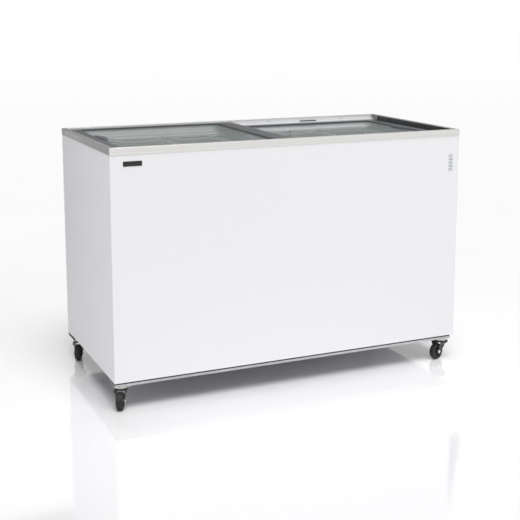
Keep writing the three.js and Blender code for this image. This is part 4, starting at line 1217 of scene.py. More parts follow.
@dataclass
class TopFrame:
    """The anodised rim in four mitred lengths."""

    maker: Maker
    corner: float = 7 * MM
    corner_steps: int = 6
    mitre_gap: float = 0.15 * MM

    def profile(self) -> list[Point2]:
        """The rim's section.

        Returns:
            Points of inset from the outer face and drop below the top, outside first.
        """
        skirt, flange, wall = 24 * MM, 20 * MM, 2 * MM
        edge = 1.2 * MM
        groove = 17.6 * MM
        bead = 0.5 * MM
        return [
            *[(edge - p[0], edge - p[1]) for p in arc((0, 0), edge, 90, 0, 4)],
            (0, groove), (bead, groove + bead), (bead, groove + 2 * bead), (0, groove + 3 * bead),
            (0, skirt - 0.7 * MM), (0.7 * MM, skirt), (wall, skirt), (wall, wall),
            (flange - 0.5 * MM, wall), (flange, wall - 0.5 * MM), (flange, 0.5 * MM),
            (flange - 0.5 * MM, 0), (15.4 * MM, 0), (14.9 * MM, 0.6 * MM), (13.9 * MM, 0.6 * MM),
            (13.4 * MM, 0),
        ]

    def build(self) -> None:
        """Build the four lengths."""
        front = Extent.of("top_frame_front")
        left = Extent.of("top_frame_left")
        half_x, half_y, top = -left.low.x, -front.low.y, front.high.z
        # The left and right lengths take the darker copy of the finish, which is painted shade.
        lengths = {
            "front": (half_x, half_y, 0, FRAME_METAL),
            "right": (half_y, half_x, 90, FRAME_METAL_SHADED_SIDE),
            "back": (half_x, half_y, 180, FRAME_METAL),
            "left": (half_y, half_x, 270, FRAME_METAL_SHADED_SIDE),
        }
        for name, (along, across, angle, finish) in lengths.items():
            form = Form()
            self._length(form, along, across, top, turn("Z", angle))
            self.maker.piece(
                f"rim_{name}", form, finish, CABINET, "anodised_frame", [f"top_frame_{name}"],
                sharp=24.0,
            )

    def _length(self, form: Form, along: float, across: float, top: float, place: Matrix) -> None:
        """Sweep the section along one edge, from one mitre to the other.

        Args:
            form: The form to add to.
            along: Half the edge's length.
            across: Distance from the middle to the edge.
            top: Height of the rim's top.
            place: Turns the front edge's place into this edge's.
        """
        made = bmesh.new()
        rows = []
        for inset, drop in self.profile():
            r = max(self.corner - inset, 0.05 * MM)
            x, y = along - inset - r, across - inset - r
            left = arc((-x, -y), r, 225, 270, self.corner_steps)
            right = arc((x, -y), r, 270, 315, self.corner_steps)
            gap = self.mitre_gap
            left[0] = (left[0][0] + gap, left[0][1])
            right[-1] = (right[-1][0] - gap, right[-1][1])
            rows.append([made.verts.new((px, py, top - drop)) for px, py in left + right])
        for row, after in zip(rows, rows[1:] + rows[:1]):
            for i in range(len(row) - 1):
                made.faces.new((row[i], row[i + 1], after[i + 1], after[i]))
        made.faces.new([row[0] for row in rows])
        made.faces.new([row[-1] for row in reversed(rows)])
        bmesh.ops.recalc_face_normals(made, faces=made.faces)
        form.join(made, place)


@dataclass
class LidTracks:
    """The stepped lid tracks, the end stops and their small fittings."""

    maker: Maker
    bead: float = 0.8 * MM
    skin: float = 3.4 * MM
    sunk: float = 2.3 * MM
    shoulder_in: float = 20 * MM
    upper_in: float = 39 * MM
    lower_in: float = 58 * MM
    shelf_in: float = 68 * MM
    upper_drop: float = 18 * MM
    lower_drop: float = 34 * MM
    shelf_drop: float = 44 * MM
    lip_drop: float = 5 * MM
    lip_out: float = 60.4 * MM
    screw_places: tuple[float, ...] = (-0.55, -0.255, 0.184, 0.531)
    catch_places: tuple[tuple[float, float], ...] = ((-0.415, -0.389), (0.328, 0.406))

    def build(self) -> None:
        """Build both tracks, both stops, the lid catches and the track screws."""
        for face, name in ((-1, "front"), (1, "back")):
            self._track(face, name)
        for side, name in ((-1, "left"), (1, "right")):
            self._stop(side, name)
        self._fittings()

    def _steps(self, outer: float, base: float, top: float, edge: float) -> list[Point2]:
        """Section of a track, as distance out from the middle and height.

        Args:
            outer: Distance of the track's back.
            base: Height of its underside.
            top: Height of its shoulder.
            edge: Distance of the rim's outer face.

        Returns:
            The outline, counter-clockwise.
        """
        b = self.bead
        rim = top + self.sunk
        upper_z, lower_z = rim - self.upper_drop, rim - self.lower_drop
        shelf_z = rim - self.shelf_drop
        shoulder, upper = edge - self.shoulder_in, edge - self.upper_in
        lower, shelf = edge - self.lower_in, edge - self.shelf_in
        return [
            (shelf, base), (outer, base), (outer, top), (shoulder, top),
            (shoulder, upper_z), (upper + 2 * b, upper_z),
            (upper + 2 * b, upper_z + 0.25 * b), (upper, upper_z + 0.25 * b),
            (upper, lower_z), (lower + 2 * b, lower_z),
            (lower + 2 * b, lower_z + 0.25 * b), (lower, lower_z + 0.25 * b),
            (lower, shelf_z), (shelf + b, shelf_z), (shelf, shelf_z - b),
        ]

    def _track(self, face: int, name: str) -> None:
        """Build one long track with its hanging lip.

        Args:
            face: -1 for the front, 1 for the back.
            name: front or back.
        """
        box = Extent.of(f"lid_track_{name}")
        reach = max(abs(box.low.y), abs(box.high.y))
        edge = reach + self.skin
        base = box.low.z + self.lip_drop
        shelf, lip_out, lip_end = edge - self.shelf_in, edge - self.lip_out, 57.2 * MM
        form = Form()
        outline = self._steps(reach, base, box.high.z, edge)
        matrix = ALONG_X if face > 0 else mirrored("Y") @ ALONG_X
        form.extrusion(outline, box.low.x, box.high.x, matrix)
        lip = [(shelf, box.low.z + 1 * MM), (edge - 67 * MM, box.low.z),
               (lip_out, box.low.z), (lip_out, base + 1 * MM), (shelf, base + 1 * MM)]
        form.extrusion(lip, box.low.x + lip_end, box.high.x - lip_end, matrix)
        self.maker.piece(
            f"track_{name}", form, TRACK_LIGHT, CABINET, "track_plastic", [f"lid_track_{name}"]
        )

    def _stop(self, side: int, name: str) -> None:
        """Build one end stop, dark moulded plastic with a hanging lip.

        Args:
            side: -1 for the left, 1 for the right.
            name: left or right.
        """
        box = Extent.of(f"end_stop_{name}")
        reach = max(abs(box.low.x), abs(box.high.x))
        edge = reach + self.skin
        base = box.low.z + self.lip_drop
        rim = box.high.z + self.sunk
        lower_z, shelf_z = rim - self.lower_drop, rim - self.shelf_drop
        shoulder, lower = edge - self.shoulder_in, edge - self.lower_in
        shelf, lip_out = edge - self.shelf_in, edge - self.lip_out
        outline = [
            (shelf, base), (reach, base), (reach, box.high.z), (shoulder, box.high.z),
            (shoulder, lower_z), (lower, lower_z), (lower, shelf_z),
            (shelf + self.bead, shelf_z), (shelf, shelf_z - self.bead),
        ]
        form = Form()
        matrix = ALONG_Y if side > 0 else mirrored("X") @ ALONG_Y
        form.extrusion(outline, box.low.y, box.high.y, matrix)
        lip = [(shelf, box.low.z), (lip_out, box.low.z), (lip_out, base + 1 * MM),
               (shelf, base + 1 * MM)]
        form.extrusion(lip, box.low.y, box.high.y, matrix)
        self.maker.piece(
            f"stop_{name}", form, TRACK_DARK, CABINET, "dark_plastic", [f"end_stop_{name}"]
        )

    def _fittings(self) -> None:
        """Build the dark catches and the bright screws of the back track."""
        box = Extent.of("lid_track_back")
        edge = box.high.y + self.skin
        rim = box.high.z + self.sunk
        catches = Form()
        for x0, x1 in self.catch_places:
            catches.block(
                (x0, edge - 21.2 * MM, rim - 16.5 * MM), (x1, edge - 19.9 * MM, rim - 12.5 * MM),
                0.4 * MM,
            )
        self.maker.piece("track_catches", catches, GASKET_AND_PAINTED_SHADE, CABINET, "dark_plastic")
        screws = Form()
        for x in self.screw_places:
            place = moved(x, edge - self.shoulder_in, rim - 8.5 * MM) @ turn("X", 90)
            screw_head(screws, place, 3.4 * MM, 0.7 * MM)
        self.maker.piece("track_screws", screws, POLISHED_STEEL, CABINET, "galvanised")


class Side(Enum):
    """Which of the two lids."""

    LEFT = "left"
    RIGHT = "right"


@dataclass
class SlidingLid:
    """One lid: moulded frame, glass, gasket and grip."""

    maker: Maker
    side: Side
    end_bar: float = 40 * MM
    centre_bar: float = 70 * MM
    rail: float = 17 * MM
    corner: float = 26 * MM
    rebate: float = 6 * MM
    glass: float = 4 * MM
    gap: float = 0.3 * MM
    box: Extent = field(init=False)
    body: str = field(init=False)

    def __post_init__(self) -> None:
        """Find the lid's frame node and body."""
        self.box = Extent.of(f"lid_{self.side.value}_frame")
        self.body = f"lid_{self.side.value}"

    def build(self) -> None:
        """Build the lid's pieces."""
        name = self.side.value
        self._frame(name)
        self._glass(name)
        self._grip(name)

    def _window(self, grow: float) -> list[Point2]:
        """Outline of the lid's window.

        Args:
            grow: How much larger than the window it is on every side.

        Returns:
            The outline.
        """
        low, high = self.box.low, self.box.high
        ends = (self.end_bar, self.centre_bar)
        if self.side is Side.RIGHT:
            ends = ends[::-1]
        return rounded(
            (low.x + ends[0] - grow, low.y + self.rail - grow),
            (high.x - ends[1] + grow, high.y - self.rail + grow),
            self.corner + grow, 8,
        )

    def _frame(self, name: str) -> None:
        """Build the frame in three moulded layers with a stepped window edge.

        Args:
            name: left or right.
        """
        low, high = self.box.low, self.box.high
        outline = rounded((low.x, low.y), (high.x, high.y), 3 * MM, 4)
        ledge = self.box.middle.z - self.glass / 2 - self.gap
        cover = self.box.middle.z + self.glass / 2 + self.gap
        form = Form()
        form.plate(outline, [self._window(0)], low.z, ledge, 0.6 * MM, 1)
        form.plate(outline, [self._window(self.rebate + self.gap)], ledge, cover, 0.0, 1)
        form.plate(outline, [self._window(0)], cover, high.z, 1.0 * MM, 2)
        self.maker.piece(
            f"lid_frame_{name}", form, LID_PLASTIC, self.body, "lid_plastic",
            [f"lid_{name}_frame"],
        )
        seal = Form()
        top = cover + 0.9 * MM
        seal.plate(
            self._window(-0.05 * MM), [self._window(-2.2 * MM)], cover - self.gap, top, 0.3 * MM, 1
        )
        self.maker.piece(f"lid_gasket_{name}", seal, GASKET_AND_PAINTED_SHADE, self.body, "dark_plastic")

    def _glass(self, name: str) -> None:
        """Build the glass with ground edges.

        Args:
            name: left or right.
        """
        middle = self.box.middle.z
        form = Form()
        form.plate(
            self._window(self.rebate), [], middle - self.glass / 2, middle + self.glass / 2,
            0.4 * MM, 1,
        )
        self.maker.piece(
            f"lid_pane_{name}", form, LID_GLASS, self.body, "lid_glass", [f"lid_{name}_glass"]
        )

    def _grip(self, name: str) -> None:
        """Build the raised half-moon grip with a rolled rim and a ribbed palm.

        Args:
            name: left or right.
        """
        box = Extent.of(f"lid_{name}_grip")
        reach, length = box.size.x, box.size.y
        radius = (reach**2 + (length / 2) ** 2) / (2 * reach)
        angle = math.degrees(math.asin(length / 2 / radius))
        outer = arc((reach - radius, 0), radius, -angle, angle, 20)
        place = moved(box.low.x, box.middle.y, 0)
        if self.side is Side.RIGHT:
            place = moved(box.high.x, box.middle.y, 0) @ mirrored("X")
        form = Form()
        rise = box.high.z - 0.9 * MM
        form.plate(outer, [], box.low.z, rise, 0.8 * MM, 2, place)
        rim = 3 * MM
        inner_radius = radius - rim
        inner = [
            (max(px, rim * 0.6), py)
            for px, py in arc((reach - radius, 0), inner_radius, -angle * 0.93, angle * 0.93, 20)
        ]
        form.plate(outer, [inner], rise - 0.5 * MM, box.high.z, 0.4 * MM, 1, place)
        ribs = 3
        for i in range(ribs):
            x = rim + 3 * MM + 5 * MM * i
            half = length * (0.34 - 0.07 * i)
            form.block(
                (x, -half, rise - 0.3 * MM), (x + 1.6 * MM, half, rise + 0.55 * MM), 0.35 * MM, 1,
                place,
            )
        self.maker.piece(
            f"lid_handle_{name}", form, GRIP_PLASTIC, self.body, "grip_plastic",
            [f"lid_{name}_grip"],
        )


@dataclass
class Tank:
    """The embossed tank with its drain and the slim thermometer."""

    maker: Maker
    sheet: float = 1 * MM
    corner: float = 18 * MM
    rim: float = 12 * MM

    def build(self) -> None:
        """Build the tank, its rim and its fittings."""
        box = Extent.of("inner_liner")
        inside = box.high.x - self.rim - self.sheet
        across = box.high.y - self.rim - self.sheet
        bay = Extent.of("bay_partition")
        foam = 50 * MM
        step_x = bay.low.x + self.sheet * 0.8 - foam
        step_z = bay.high.z - 0.8 * MM + foam
        floor = box.low.z + self.sheet
        plug = Extent.of("drain_plug")
        hole = circle((plug.middle.x, plug.middle.y), 7 * MM, 20)
        form = Form()
        self._walls(form, inside, across, floor, step_x, step_z, box.high.z)
        low_floor = rounded((-inside, -across), (step_x, across), self.corner, 6)
        form.plate(low_floor, [hole], floor - self.sheet, floor)
        high_floor = rounded((step_x, -across), (inside, across), self.corner, 6)
        form.plate(high_floor, [], step_z - self.sheet, step_z)
        mouth = rounded((-inside, -across), (inside, across), self.corner, 6)
        reach = self.rim + self.sheet
        collar = rounded(
            (-inside - reach, -across - reach), (inside + reach, across + reach), 4 * MM, 3
        )
        form.plate(collar, [mouth], box.high.z - self.sheet, box.high.z, 0.1 * MM, 1)
        self.maker.piece(
            "tank_lining", form, LINER_METAL, CABINET, "embossed_aluminium", ["inner_liner"]
        )
        self._plug(plug)
        self._tube()
        self._thermometer()

    def _walls(
        self, form: Form, inside: float, across: float, floor: float,
        step_x: float, step_z: float, top: float,
    ) -> None:
        """Build the upright walls, thick sheet with rounded corners.

        Args:
            form: The tank's form.
            inside: Half the tank's inner length.
            across: Half its inner width.
            floor: Height of the low floor.
            step_x: Where the low floor ends.
            step_z: Height of the floor over the bay.
            top: Height of the rim.
        """
        t = self.sheet
        for end, foot, head in ((inside, step_z - t, top), (step_x, floor - t, step_z - t)):
            inner = rounded((-inside, -across), (end, across), self.corner, 6)
            outer = rounded((-inside - t, -across - t), (end + t, across + t), self.corner + t, 6)
            form.plate(outer, [inner], foot, head)

    def _plug(self, box: Extent) -> None:
        """Build the drain plug with its pull ring.

        Args:
            box: The frame plug's extent.
        """
        place = moved(box.middle.x, box.middle.y, 0)
        seat = Extent.of("inner_liner").low.z + self.sheet + 0.3 * MM
        head = 4 * MM
        form = Form()
        form.turned(
            [(0, box.low.z), (5.4 * MM, box.low.z), (6.6 * MM, box.low.z + 2 * MM),
             (6.6 * MM, seat), (13.2 * MM, seat), (14 * MM, seat + 0.8 * MM),
             (13.6 * MM, seat + head - 0.8 * MM), (12.4 * MM, seat + head), (9 * MM, seat + head),
             (8.4 * MM, seat + head - 0.6 * MM), (0, seat + head - 0.6 * MM)],
            36, place,
        )
        ring = 8 * MM
        wire = 1.5 * MM
        centre = box.high.z - ring - wire
        round_ring = [(ring * math.cos(a), 0, centre + ring * math.sin(a))
                      for a in [2 * math.pi * i / 28 for i in range(28)]]
        form.wires([round_ring], wire, 2, True, place)
        self.maker.piece("drain_bung", form, DARK_PLASTIC, "plug", "dark_plastic", ["drain_plug"])

    def _tube(self) -> None:
        """Build the drain tube with its flange and a rolled lower lip."""
        box = Extent.of("drain_tube")
        place = moved(box.middle.x, box.middle.y, 0)
        bore, wall, flange = 7 * MM, 9 * MM, 15 * MM
        form = Form()
        form.turned(
            [(bore, box.low.z + 0.6 * MM), (bore + 0.6 * MM, box.low.z),
             (wall - 0.5 * MM, box.low.z), (wall, box.low.z + 0.5 * MM),
             (wall, box.high.z - 1.5 * MM),
             (flange, box.high.z - 1.5 * MM), (flange, box.high.z), (bore, box.high.z)],
            32, place,
        )
        self.maker.piece(
            "drain_pipe", form, WHITE_PLASTIC, CABINET, "white_plastic", ["drain_tube"]
        )

    def _thermometer(self) -> None:
        """Build the slim thermometer: dark back, pale lower bulb window and plain scale marks."""
        box = Extent.of("thermometer")
        form = Form()
        form.block(box.low, (box.high.x, box.high.y, box.high.z), 0.6 * MM, 2)
        self.maker.piece(
            "thermometer_case", form, DARK_PLASTIC, CABINET, "dark_plastic", ["thermometer"]
        )
        face = Form()
        inset = 2 * MM
        y = box.low.y
        face.block(
            (box.low.x + inset, y - 0.15 * MM, box.low.z + inset),
            (box.high.x - inset, y + 0.2 * MM, box.low.z + 13 * MM), 0.1 * MM, 1,
        )
        marks = 9
        for i in range(marks):
            z = box.low.z + 16 * MM + i * 3 * MM
            reach = 3.4 * MM if i % 2 == 0 else 2.2 * MM
            face.block(
                (box.middle.x - 4 * MM, y - 0.1 * MM, z),
                (box.middle.x - 4 * MM + reach, y + 0.2 * MM, z + 0.5 * MM),
            )
        self.maker.piece("thermometer_face", face, WHITE_PLASTIC, CABINET, "white_plastic")


@dataclass
class Basket:
    """A welded wire basket that hangs from the tracks."""

    maker: Maker
    number: int
    wire: float = 1.25 * MM
    frame_wire: float = 2.4 * MM
    hanger: float = 104 * MM
    hanger_width: float = 14 * MM
    pitch: float = 19 * MM
    depth: float = 220 * MM
    hook_reach: float = 12 * MM

    def __post_init__(self) -> None:
        """Work out the basket's places from its frame node."""
        box = Extent.of(f"wire_basket_{self.number}")
        self.x, self.half_x = box.middle.x, box.size.x / 2
        self.floor, self.top = box.low.z, box.high.z
        self.rim = box.low.z + self.depth
        self.hook = box.size.y / 2
        self.half_y = self.hook - self.hook_reach

    def build(self) -> None:
        """Build the basket's wires."""
        form = Form()
        self._frame_rings(form)
        self._mesh(form)
        self._hangers(form)
        self.maker.piece(
            f"basket_{self.number}_wires", form, WIRE_COAT, f"basket_{self.number}",
            "coated_wire", [f"wire_basket_{self.number}"], sharp=60.0,
        )

    def _ring(self, inset: float, z: float) -> list[Point3]:
        """A level ring of wire round the basket.

        Args:
            inset: Distance in from the basket's sides.
            z: Its height.

        Returns:
            The ring's points.
        """
        low = (self.x - self.half_x + inset, -self.half_y + inset)
        high = (self.x + self.half_x - inset, self.half_y - inset)
        return [(px, py, z) for px, py in rounded(low, high, 14 * MM, 4)]

    def _frame_rings(self, form: Form) -> None:
        """Add the heavy rings at the rim and the foot.

        Args:
            form: The basket's form.
        """
        r = self.frame_wire
        foot = self._ring(r + 6 * MM, self.floor + r)
        form.wires([self._ring(r, self.rim - r), foot], r, 2, True)
        form.wires([self._ring(r, self.rim - 70 * MM)], r * 0.75, 1, True)

    def _mesh(self, form: Form) -> None:
        """Add the thin wires of the walls and the floor.

        Args:
            form: The basket's form.
        """
        w, inset = self.wire, self.frame_wire + self.wire + 1 * MM
        low_z, high_z = self.floor + w, self.rim - self.frame_wire
        x0, x1 = self.x - self.half_x + inset, self.x + self.half_x - inset
        y0, y1 = -self.half_y + inset, self.half_y - inset
        runs = []
        across = round((x1 - x0 - 16 * MM) / self.pitch)
        for i in range(across + 1):
            x = x0 + 8 * MM + (x1 - x0 - 16 * MM) * i / across
            runs.append([
                (x, y0, high_z), (x, y0 + 1 * MM, low_z), (x, y1 - 1 * MM, low_z), (x, y1, high_z),
            ])
        along = round((y1 - y0 - 16 * MM) / (2 * self.pitch))
        for i in range(along + 1):
            y = y0 + 8 * MM + (y1 - y0 - 16 * MM) * i / along
            z = low_z + 2 * w
            runs.append([
                (x0, y, high_z), (x0 + 1 * MM, y, z), (x1 - 1 * MM, y, z), (x1, y, high_z),
            ])
        form.wires(runs, w, 0)
        levels = 7
        heights = [low_z + (high_z - low_z) * i / levels for i in range(1, levels)]
        form.wires([self._ring(inset - 1.8 * w, z) for z in heights], w, 0, True)

    def _hangers(self, form: Form) -> None:
        """Add the looped hangers and the dipping handle wires between them.

        Args:
            form: The basket's form.
        """
        r = self.frame_wire
        half = self.hanger_width / 2 - r
        loops, handles = [], []
        for face in (-1, 1):
            y = face * (self.half_y - r)
            end = face * (self.hook - r)
            for side in (-1, 1):
                x = self.x + side * self.hanger
                top = self.top - r
                knee = self.top - r * 1.6
                leg = [
                    (y, self.rim - 60 * MM), (y, knee - 3 * MM),
                    (y + face * 1.5 * MM, top - 0.5 * MM), (end - face * 2 * MM, top),
                ]
                loops.append([
                    *[(x - half, *point) for point in leg],
                    (x - half + 2 * MM, end, top), (x + half - 2 * MM, end, top),
                    *[(x + half, *point) for point in reversed(leg)],
                ])
            span = self.hanger - half
            dip = 10 * MM
            steps = 14
            handle = []
            for i in range(steps + 1):
                t = -1 + 2 * i / steps
                z = self.rim + 9 * MM - dip * (1 - abs(t) ** 3)
                handle.append((self.x + t * span, y - face * 1.2 * MM, z))
            handles.append(handle)
        form.wires(loops, r * 0.85, 1)
        form.wires(handles, r, 2)


@dataclass
class Underframe:
    """The base pan, the tray and the two channels that carry the casters."""

    maker: Maker
    sheet: float = 1.5 * MM
    fold: float = 1.2 * MM

    def build(self) -> None:
        """Build the channels, the painted shade strips on them, the pan and the tray."""
        for face, name in ((-1, "front"), (1, "back")):
            self._channel(face, name)
        self._shade_strips()
        self._pan()
        self._tray()

    def _shade_strips(self) -> None:
        """Build dark strips along the tops of both channels, painted shade for the shadow line
        under the sheets.
        """
        form = Form()
        for face, name in ((-1, "front"), (1, "back")):
            box = Extent.of(f"base_rail_{name}")
            outer = face * max(abs(box.low.y), abs(box.high.y))
            near, far = sorted((outer, outer + face * 0.6 * MM))
            # Each strip is painted shade: a dark band where the sheet above throws its shadow line.
            form.block(
                (box.low.x, near, box.high.z - 3.2 * MM), (box.high.x, far, box.high.z + 1.2 * MM),
                0.2 * MM, 1,
            )
        self.maker.piece("base_shade_strips", form, GASKET_AND_PAINTED_SHADE, CABINET, "dark_plastic")

    def _channel(self, face: int, name: str) -> None:
        """Build a channel with rounded folds.

        Args:
            face: -1 for the front, 1 for the back.
            name: front or back.
        """
        box = Extent.of(f"base_rail_{name}")
        outer = max(abs(box.low.y), abs(box.high.y))
        inner = min(abs(box.low.y), abs(box.high.y))
        low, high, t, r = box.low.z, box.high.z, self.sheet, self.fold + self.sheet
        outline = [
            (inner, low),
            *arc((outer - r, low + r), r, 270, 360, 3),
            *arc((outer - r, high - r), r, 0, 90, 3),
            (inner, high), (inner, high - t),
            *arc((outer - r, high - r), r - t, 90, 0, 3),
            *arc((outer - r, low + r), r - t, 360, 270, 3),
            (inner, low + t),
        ]
        form = Form()
        matrix = ALONG_X if face > 0 else mirrored("Y") @ ALONG_X
        form.extrusion(outline, box.low.x, box.high.x, matrix)
        self.maker.piece(
            f"channel_{name}", form, ZINC, CABINET, "galvanised", [f"base_rail_{name}"]
        )

    def _pan(self) -> None:
        """Build the base pan with pressed stiffening beads and a drain hole."""
        box = Extent.of("base_pan")
        tube = Extent.of("drain_tube")
        hole = circle((tube.middle.x, tube.middle.y), 9.3 * MM, 24)
        form = Form()
        outline = rounded((box.low.x, box.low.y), (box.high.x, box.high.y), 3 * MM, 3)
        form.plate(outline, [hole], box.low.z, box.high.z)
        beads = 5
        for i in range(beads):
            x = box.low.x + 200 * MM + (box.size.x - 300 * MM) * i / (beads - 1)
            bead = [(-9 * MM, 0), (9 * MM, 0), (5 * MM, -2.2 * MM), (-5 * MM, -2.2 * MM)]
            matrix = moved(x, 0, box.low.z) @ ALONG_Y
            form.extrusion(bead[::-1], -0.21, 0.21, matrix)
        self.maker.piece("underside_pan", form, ZINC, CABINET, "galvanised", ["base_pan"])

    def _tray(self) -> None:
        """Build the compressor tray with its cooling slots and foot bolts."""
        box = Extent.of("compressor_tray")
        first, pitch, slots = -0.22, 0.03, 4
        rows = [first + pitch * i for i in range(slots)]
        holes = [slot_hole((box.middle.x, y), 60 * MM, 6 * MM) for y in rows]
        form = Form()
        outline = rounded((box.low.x, box.low.y), (box.high.x, box.high.y), 3 * MM, 3)
        form.plate(outline, holes, box.low.z, box.high.z)
        self.maker.piece("unit_tray", form, ZINC, CABINET, "galvanised", ["compressor_tray"])
        bolts = Form()
        can = Extent.of("compressor")
        for sx in (-1, 1):
            for sy in (-1, 1):
                x = can.middle.x + 8 * MM + sx * 82 * MM
                y = can.middle.y + sy * 57 * MM
                hex_head(bolts, moved(x, y, box.low.z) @ turn("X", 180), 5 * MM, 3 * MM)
        self.maker.piece("tray_bolts", bolts, BRIGHT_ZINC, CABINET, "galvanised")


@dataclass
class Caster:
    """One swivel caster: plate, race, fork, axle and wheel."""

    maker: Maker
    corner: str
    wheel_radius: float = 31.5 * MM
    wheel_half: float = 12.5 * MM
    plate_sheet: float = 2.7 * MM
    dish_radius: float = 26 * MM
    dish_height: float = 12 * MM
    fork_sheet: float = 2.5 * MM
    crown: float = 23 * MM
    trail: float = 24 * MM

    def build(self) -> None:
        """Build the caster's pieces at its corner."""
        swivel = joint_named(f"swivel_{self.corner}")
        spin = joint_named(f"wheel_{self.corner}_spin")
        self.pivot = Vector(swivel["pos_m"])
        self.hub = Vector(spin["pos_m"])
        plate = Extent.of(f"caster_plate_{self.corner}")
        self.top = plate.high.z
        away = self.hub - self.pivot
        heading = math.degrees(math.atan2(away.y, away.x))
        self.swivel_place = moved(self.pivot.x, self.pivot.y, 0) @ turn("Z", heading - 180)
        self.wheel_place = moved(*self.hub) @ turn("Z", heading - 180) @ turn("X", -90)
        self._plate(plate)
        self._fork()
        self._axle()
        self._wheel()

    def _plate(self, box: Extent) -> None:
        """Build the top plate with its bolts and the dished race.

        Args:
            box: The frame plate's extent.
        """
        half = box.size.x / 2
        low = self.top - self.plate_sheet
        place = moved(self.pivot.x, self.pivot.y, 0)
        form = Form()
        form.plate(
            rounded((-half, -half), (half, half), 6 * MM, 5), [], low, self.top, 0.6 * MM, 2, place
        )
        r, h = self.dish_radius, self.dish_height
        form.turned(
            [(0, low - h), (r - 9 * MM, low - h), (r - 5 * MM, low - h + 0.6 * MM),
             (r - 1.4 * MM, low - h + 2.6 * MM), (r - 0.2 * MM, low - h + 4.2 * MM),
             (r, low - h + 6 * MM), (r - 0.6 * MM, low - 4 * MM), (r - 2 * MM, low - 2.6 * MM),
             (r - 2.6 * MM, low - 1 * MM), (r - 3.4 * MM, low + 0.4 * MM), (0, low + 0.4 * MM)],
            44, place,
        )
        inset = half - 9 * MM
        for sx in (-1, 1):
            for sy in (-1, 1):
                bolt = place @ moved(sx * inset, sy * inset, low) @ turn("X", 180)
                hex_head(form, bolt @ turn("Z", RANDOM.uniform(0, 60)), 5.2 * MM, 3.4 * MM)
        self.maker.piece(
            f"caster_{self.corner}_plate", form, BRIGHT_ZINC, CABINET, "galvanised",
            [f"caster_plate_{self.corner}"],
        )

    def _fork(self) -> None:
        """Build the pressed fork: a rounded crown and two swept cheeks."""
        top = self.top - self.plate_sheet - self.dish_height - 0.3 * MM
        cheek_in = self.wheel_half + 1.3 * MM
        cheek_out = cheek_in + self.fork_sheet
        axle_z = self.wheel_radius
        shoulder, waist, foot = top - 9 * MM, axle_z + 24 * MM, axle_z - 9 * MM
        c, t = self.crown, self.fork_sheet
        curl = 4 * MM
        outer = [*arc((c - curl, top - curl), curl, 90, 0, 4), (c, shoulder), (cheek_out, waist),
                 (cheek_out, foot)]
        inner = [(cheek_in, foot), (cheek_in, waist), (c - t, shoulder),
                 *arc((c - curl, top - curl), curl - t, 0, 90, 4)]
        form = Form()
        band = [*[(-a, z) for a, z in reversed(outer)], *outer, *inner,
                *[(-a, z) for a, z in reversed(inner)]]
        sheet = bmesh.new()
        lengths = 6
        rows = []
        for a, z in band:
            back, front = self._reach(z, shoulder, axle_z)
            shares = [i / lengths for i in range(lengths + 1)]
            rows.append([sheet.verts.new((back + (front - back) * s, a, z)) for s in shares])
        for row, after in zip(rows, rows[1:] + rows[:1]):
            for i in range(len(row) - 1):
                sheet.faces.new((row[i], after[i], after[i + 1], row[i + 1]))
        sheet.faces.new([row[0] for row in reversed(rows)])
        sheet.faces.new([row[-1] for row in rows])
        bmesh.ops.recalc_face_normals(sheet, faces=sheet.faces)
        form.join(sheet, self.swivel_place)
        saddle = 16 * MM
        form.turned(
            [(0, top - t - 5.4 * MM), (saddle - 3 * MM, top - t - 5.4 * MM),
             (saddle, top - t - 3.6 * MM), (saddle + 2.4 * MM, top - t + 0.3 * MM),
             (0, top - t + 0.3 * MM)],
            32, self.swivel_place,
        )
        boss = 9.4 * MM
        for side in (-1, 1):
            low, high = sorted((side * cheek_in, side * cheek_out))
            place = self.swivel_place @ moved(-self.trail, 0, axle_z) @ turn("X", -90)
            form.turned(
                [(4.3 * MM, low), (boss, low), (boss + 0.6 * MM, (low + high) / 2), (boss, high),
                 (4.3 * MM, high)],
                28, place,
            )
        self.maker.piece(
            f"caster_{self.corner}_fork", form, BLACK_ENAMEL, f"swivel_{self.corner}",
            "black_steel", [f"caster_fork_{self.corner}"],
        )
        kingpin = Form()
        kingpin.turned(
            [(0, top - t - 7.2 * MM), (4 * MM, top - t - 7 * MM), (5.6 * MM, top - t - 5.3 * MM),
             (0, top - t - 5.3 * MM)],
            20, self.swivel_place,
        )
        self.maker.piece(
            f"caster_{self.corner}_kingpin", kingpin, BRIGHT_ZINC, f"swivel_{self.corner}",
            "galvanised",
        )

    def _reach(self, z: float, shoulder: float, axle_z: float) -> Point2:
        """Trailing and leading ends of the fork's sheet at a height.

        Args:
            z: The height.
            shoulder: Height where the crown ends.
            axle_z: Height of the axle.

        Returns:
            The two places along the trailing direction.
        """
        crown_back, crown_front = -self.dish_radius + 2 * MM, self.dish_radius - 4 * MM
        if z >= shoulder:
            return crown_back, crown_front
        boss = 9 * MM
        share = min((shoulder - z) / (shoulder - axle_z), 1.0)
        back = crown_back + (-self.trail - boss - crown_back) * share
        front = crown_front + (-self.trail + boss - crown_front) * share
        if z < axle_z:
            pinch = 3.5 * MM * (axle_z - z) / (9 * MM)
            back, front = back + pinch, front - pinch
        return back, front

    def _axle(self) -> None:
        """Build the axle bolt: a domed head, a plain shank and a lock nut."""
        inner = self.wheel_half + 1.3 * MM + self.fork_sheet + 0.3 * MM
        shank = 4 * MM
        form = Form()
        form.turned(
            [(0, -inner - 2.5 * MM), (3.4 * MM, -inner - 2.4 * MM), (5.6 * MM, -inner - 1.4 * MM),
             (6.4 * MM, -inner), (shank, -inner), (shank, inner), (0, inner)],
            28, self.wheel_place,
        )
        form.turned(
            [(0, inner), (6.3 * MM, inner), (6.3 * MM, inner + 1.9 * MM),
             (5 * MM, inner + 2.5 * MM), (3.2 * MM, inner + 2.5 * MM),
             (2.8 * MM, inner + 2.1 * MM), (0, inner + 2.1 * MM)],
            6, self.wheel_place,
        )
        self.maker.piece(
            f"caster_{self.corner}_axle", form, BRIGHT_ZINC, f"swivel_{self.corner}",
            "galvanised", [f"caster_axle_{self.corner}"],
        )

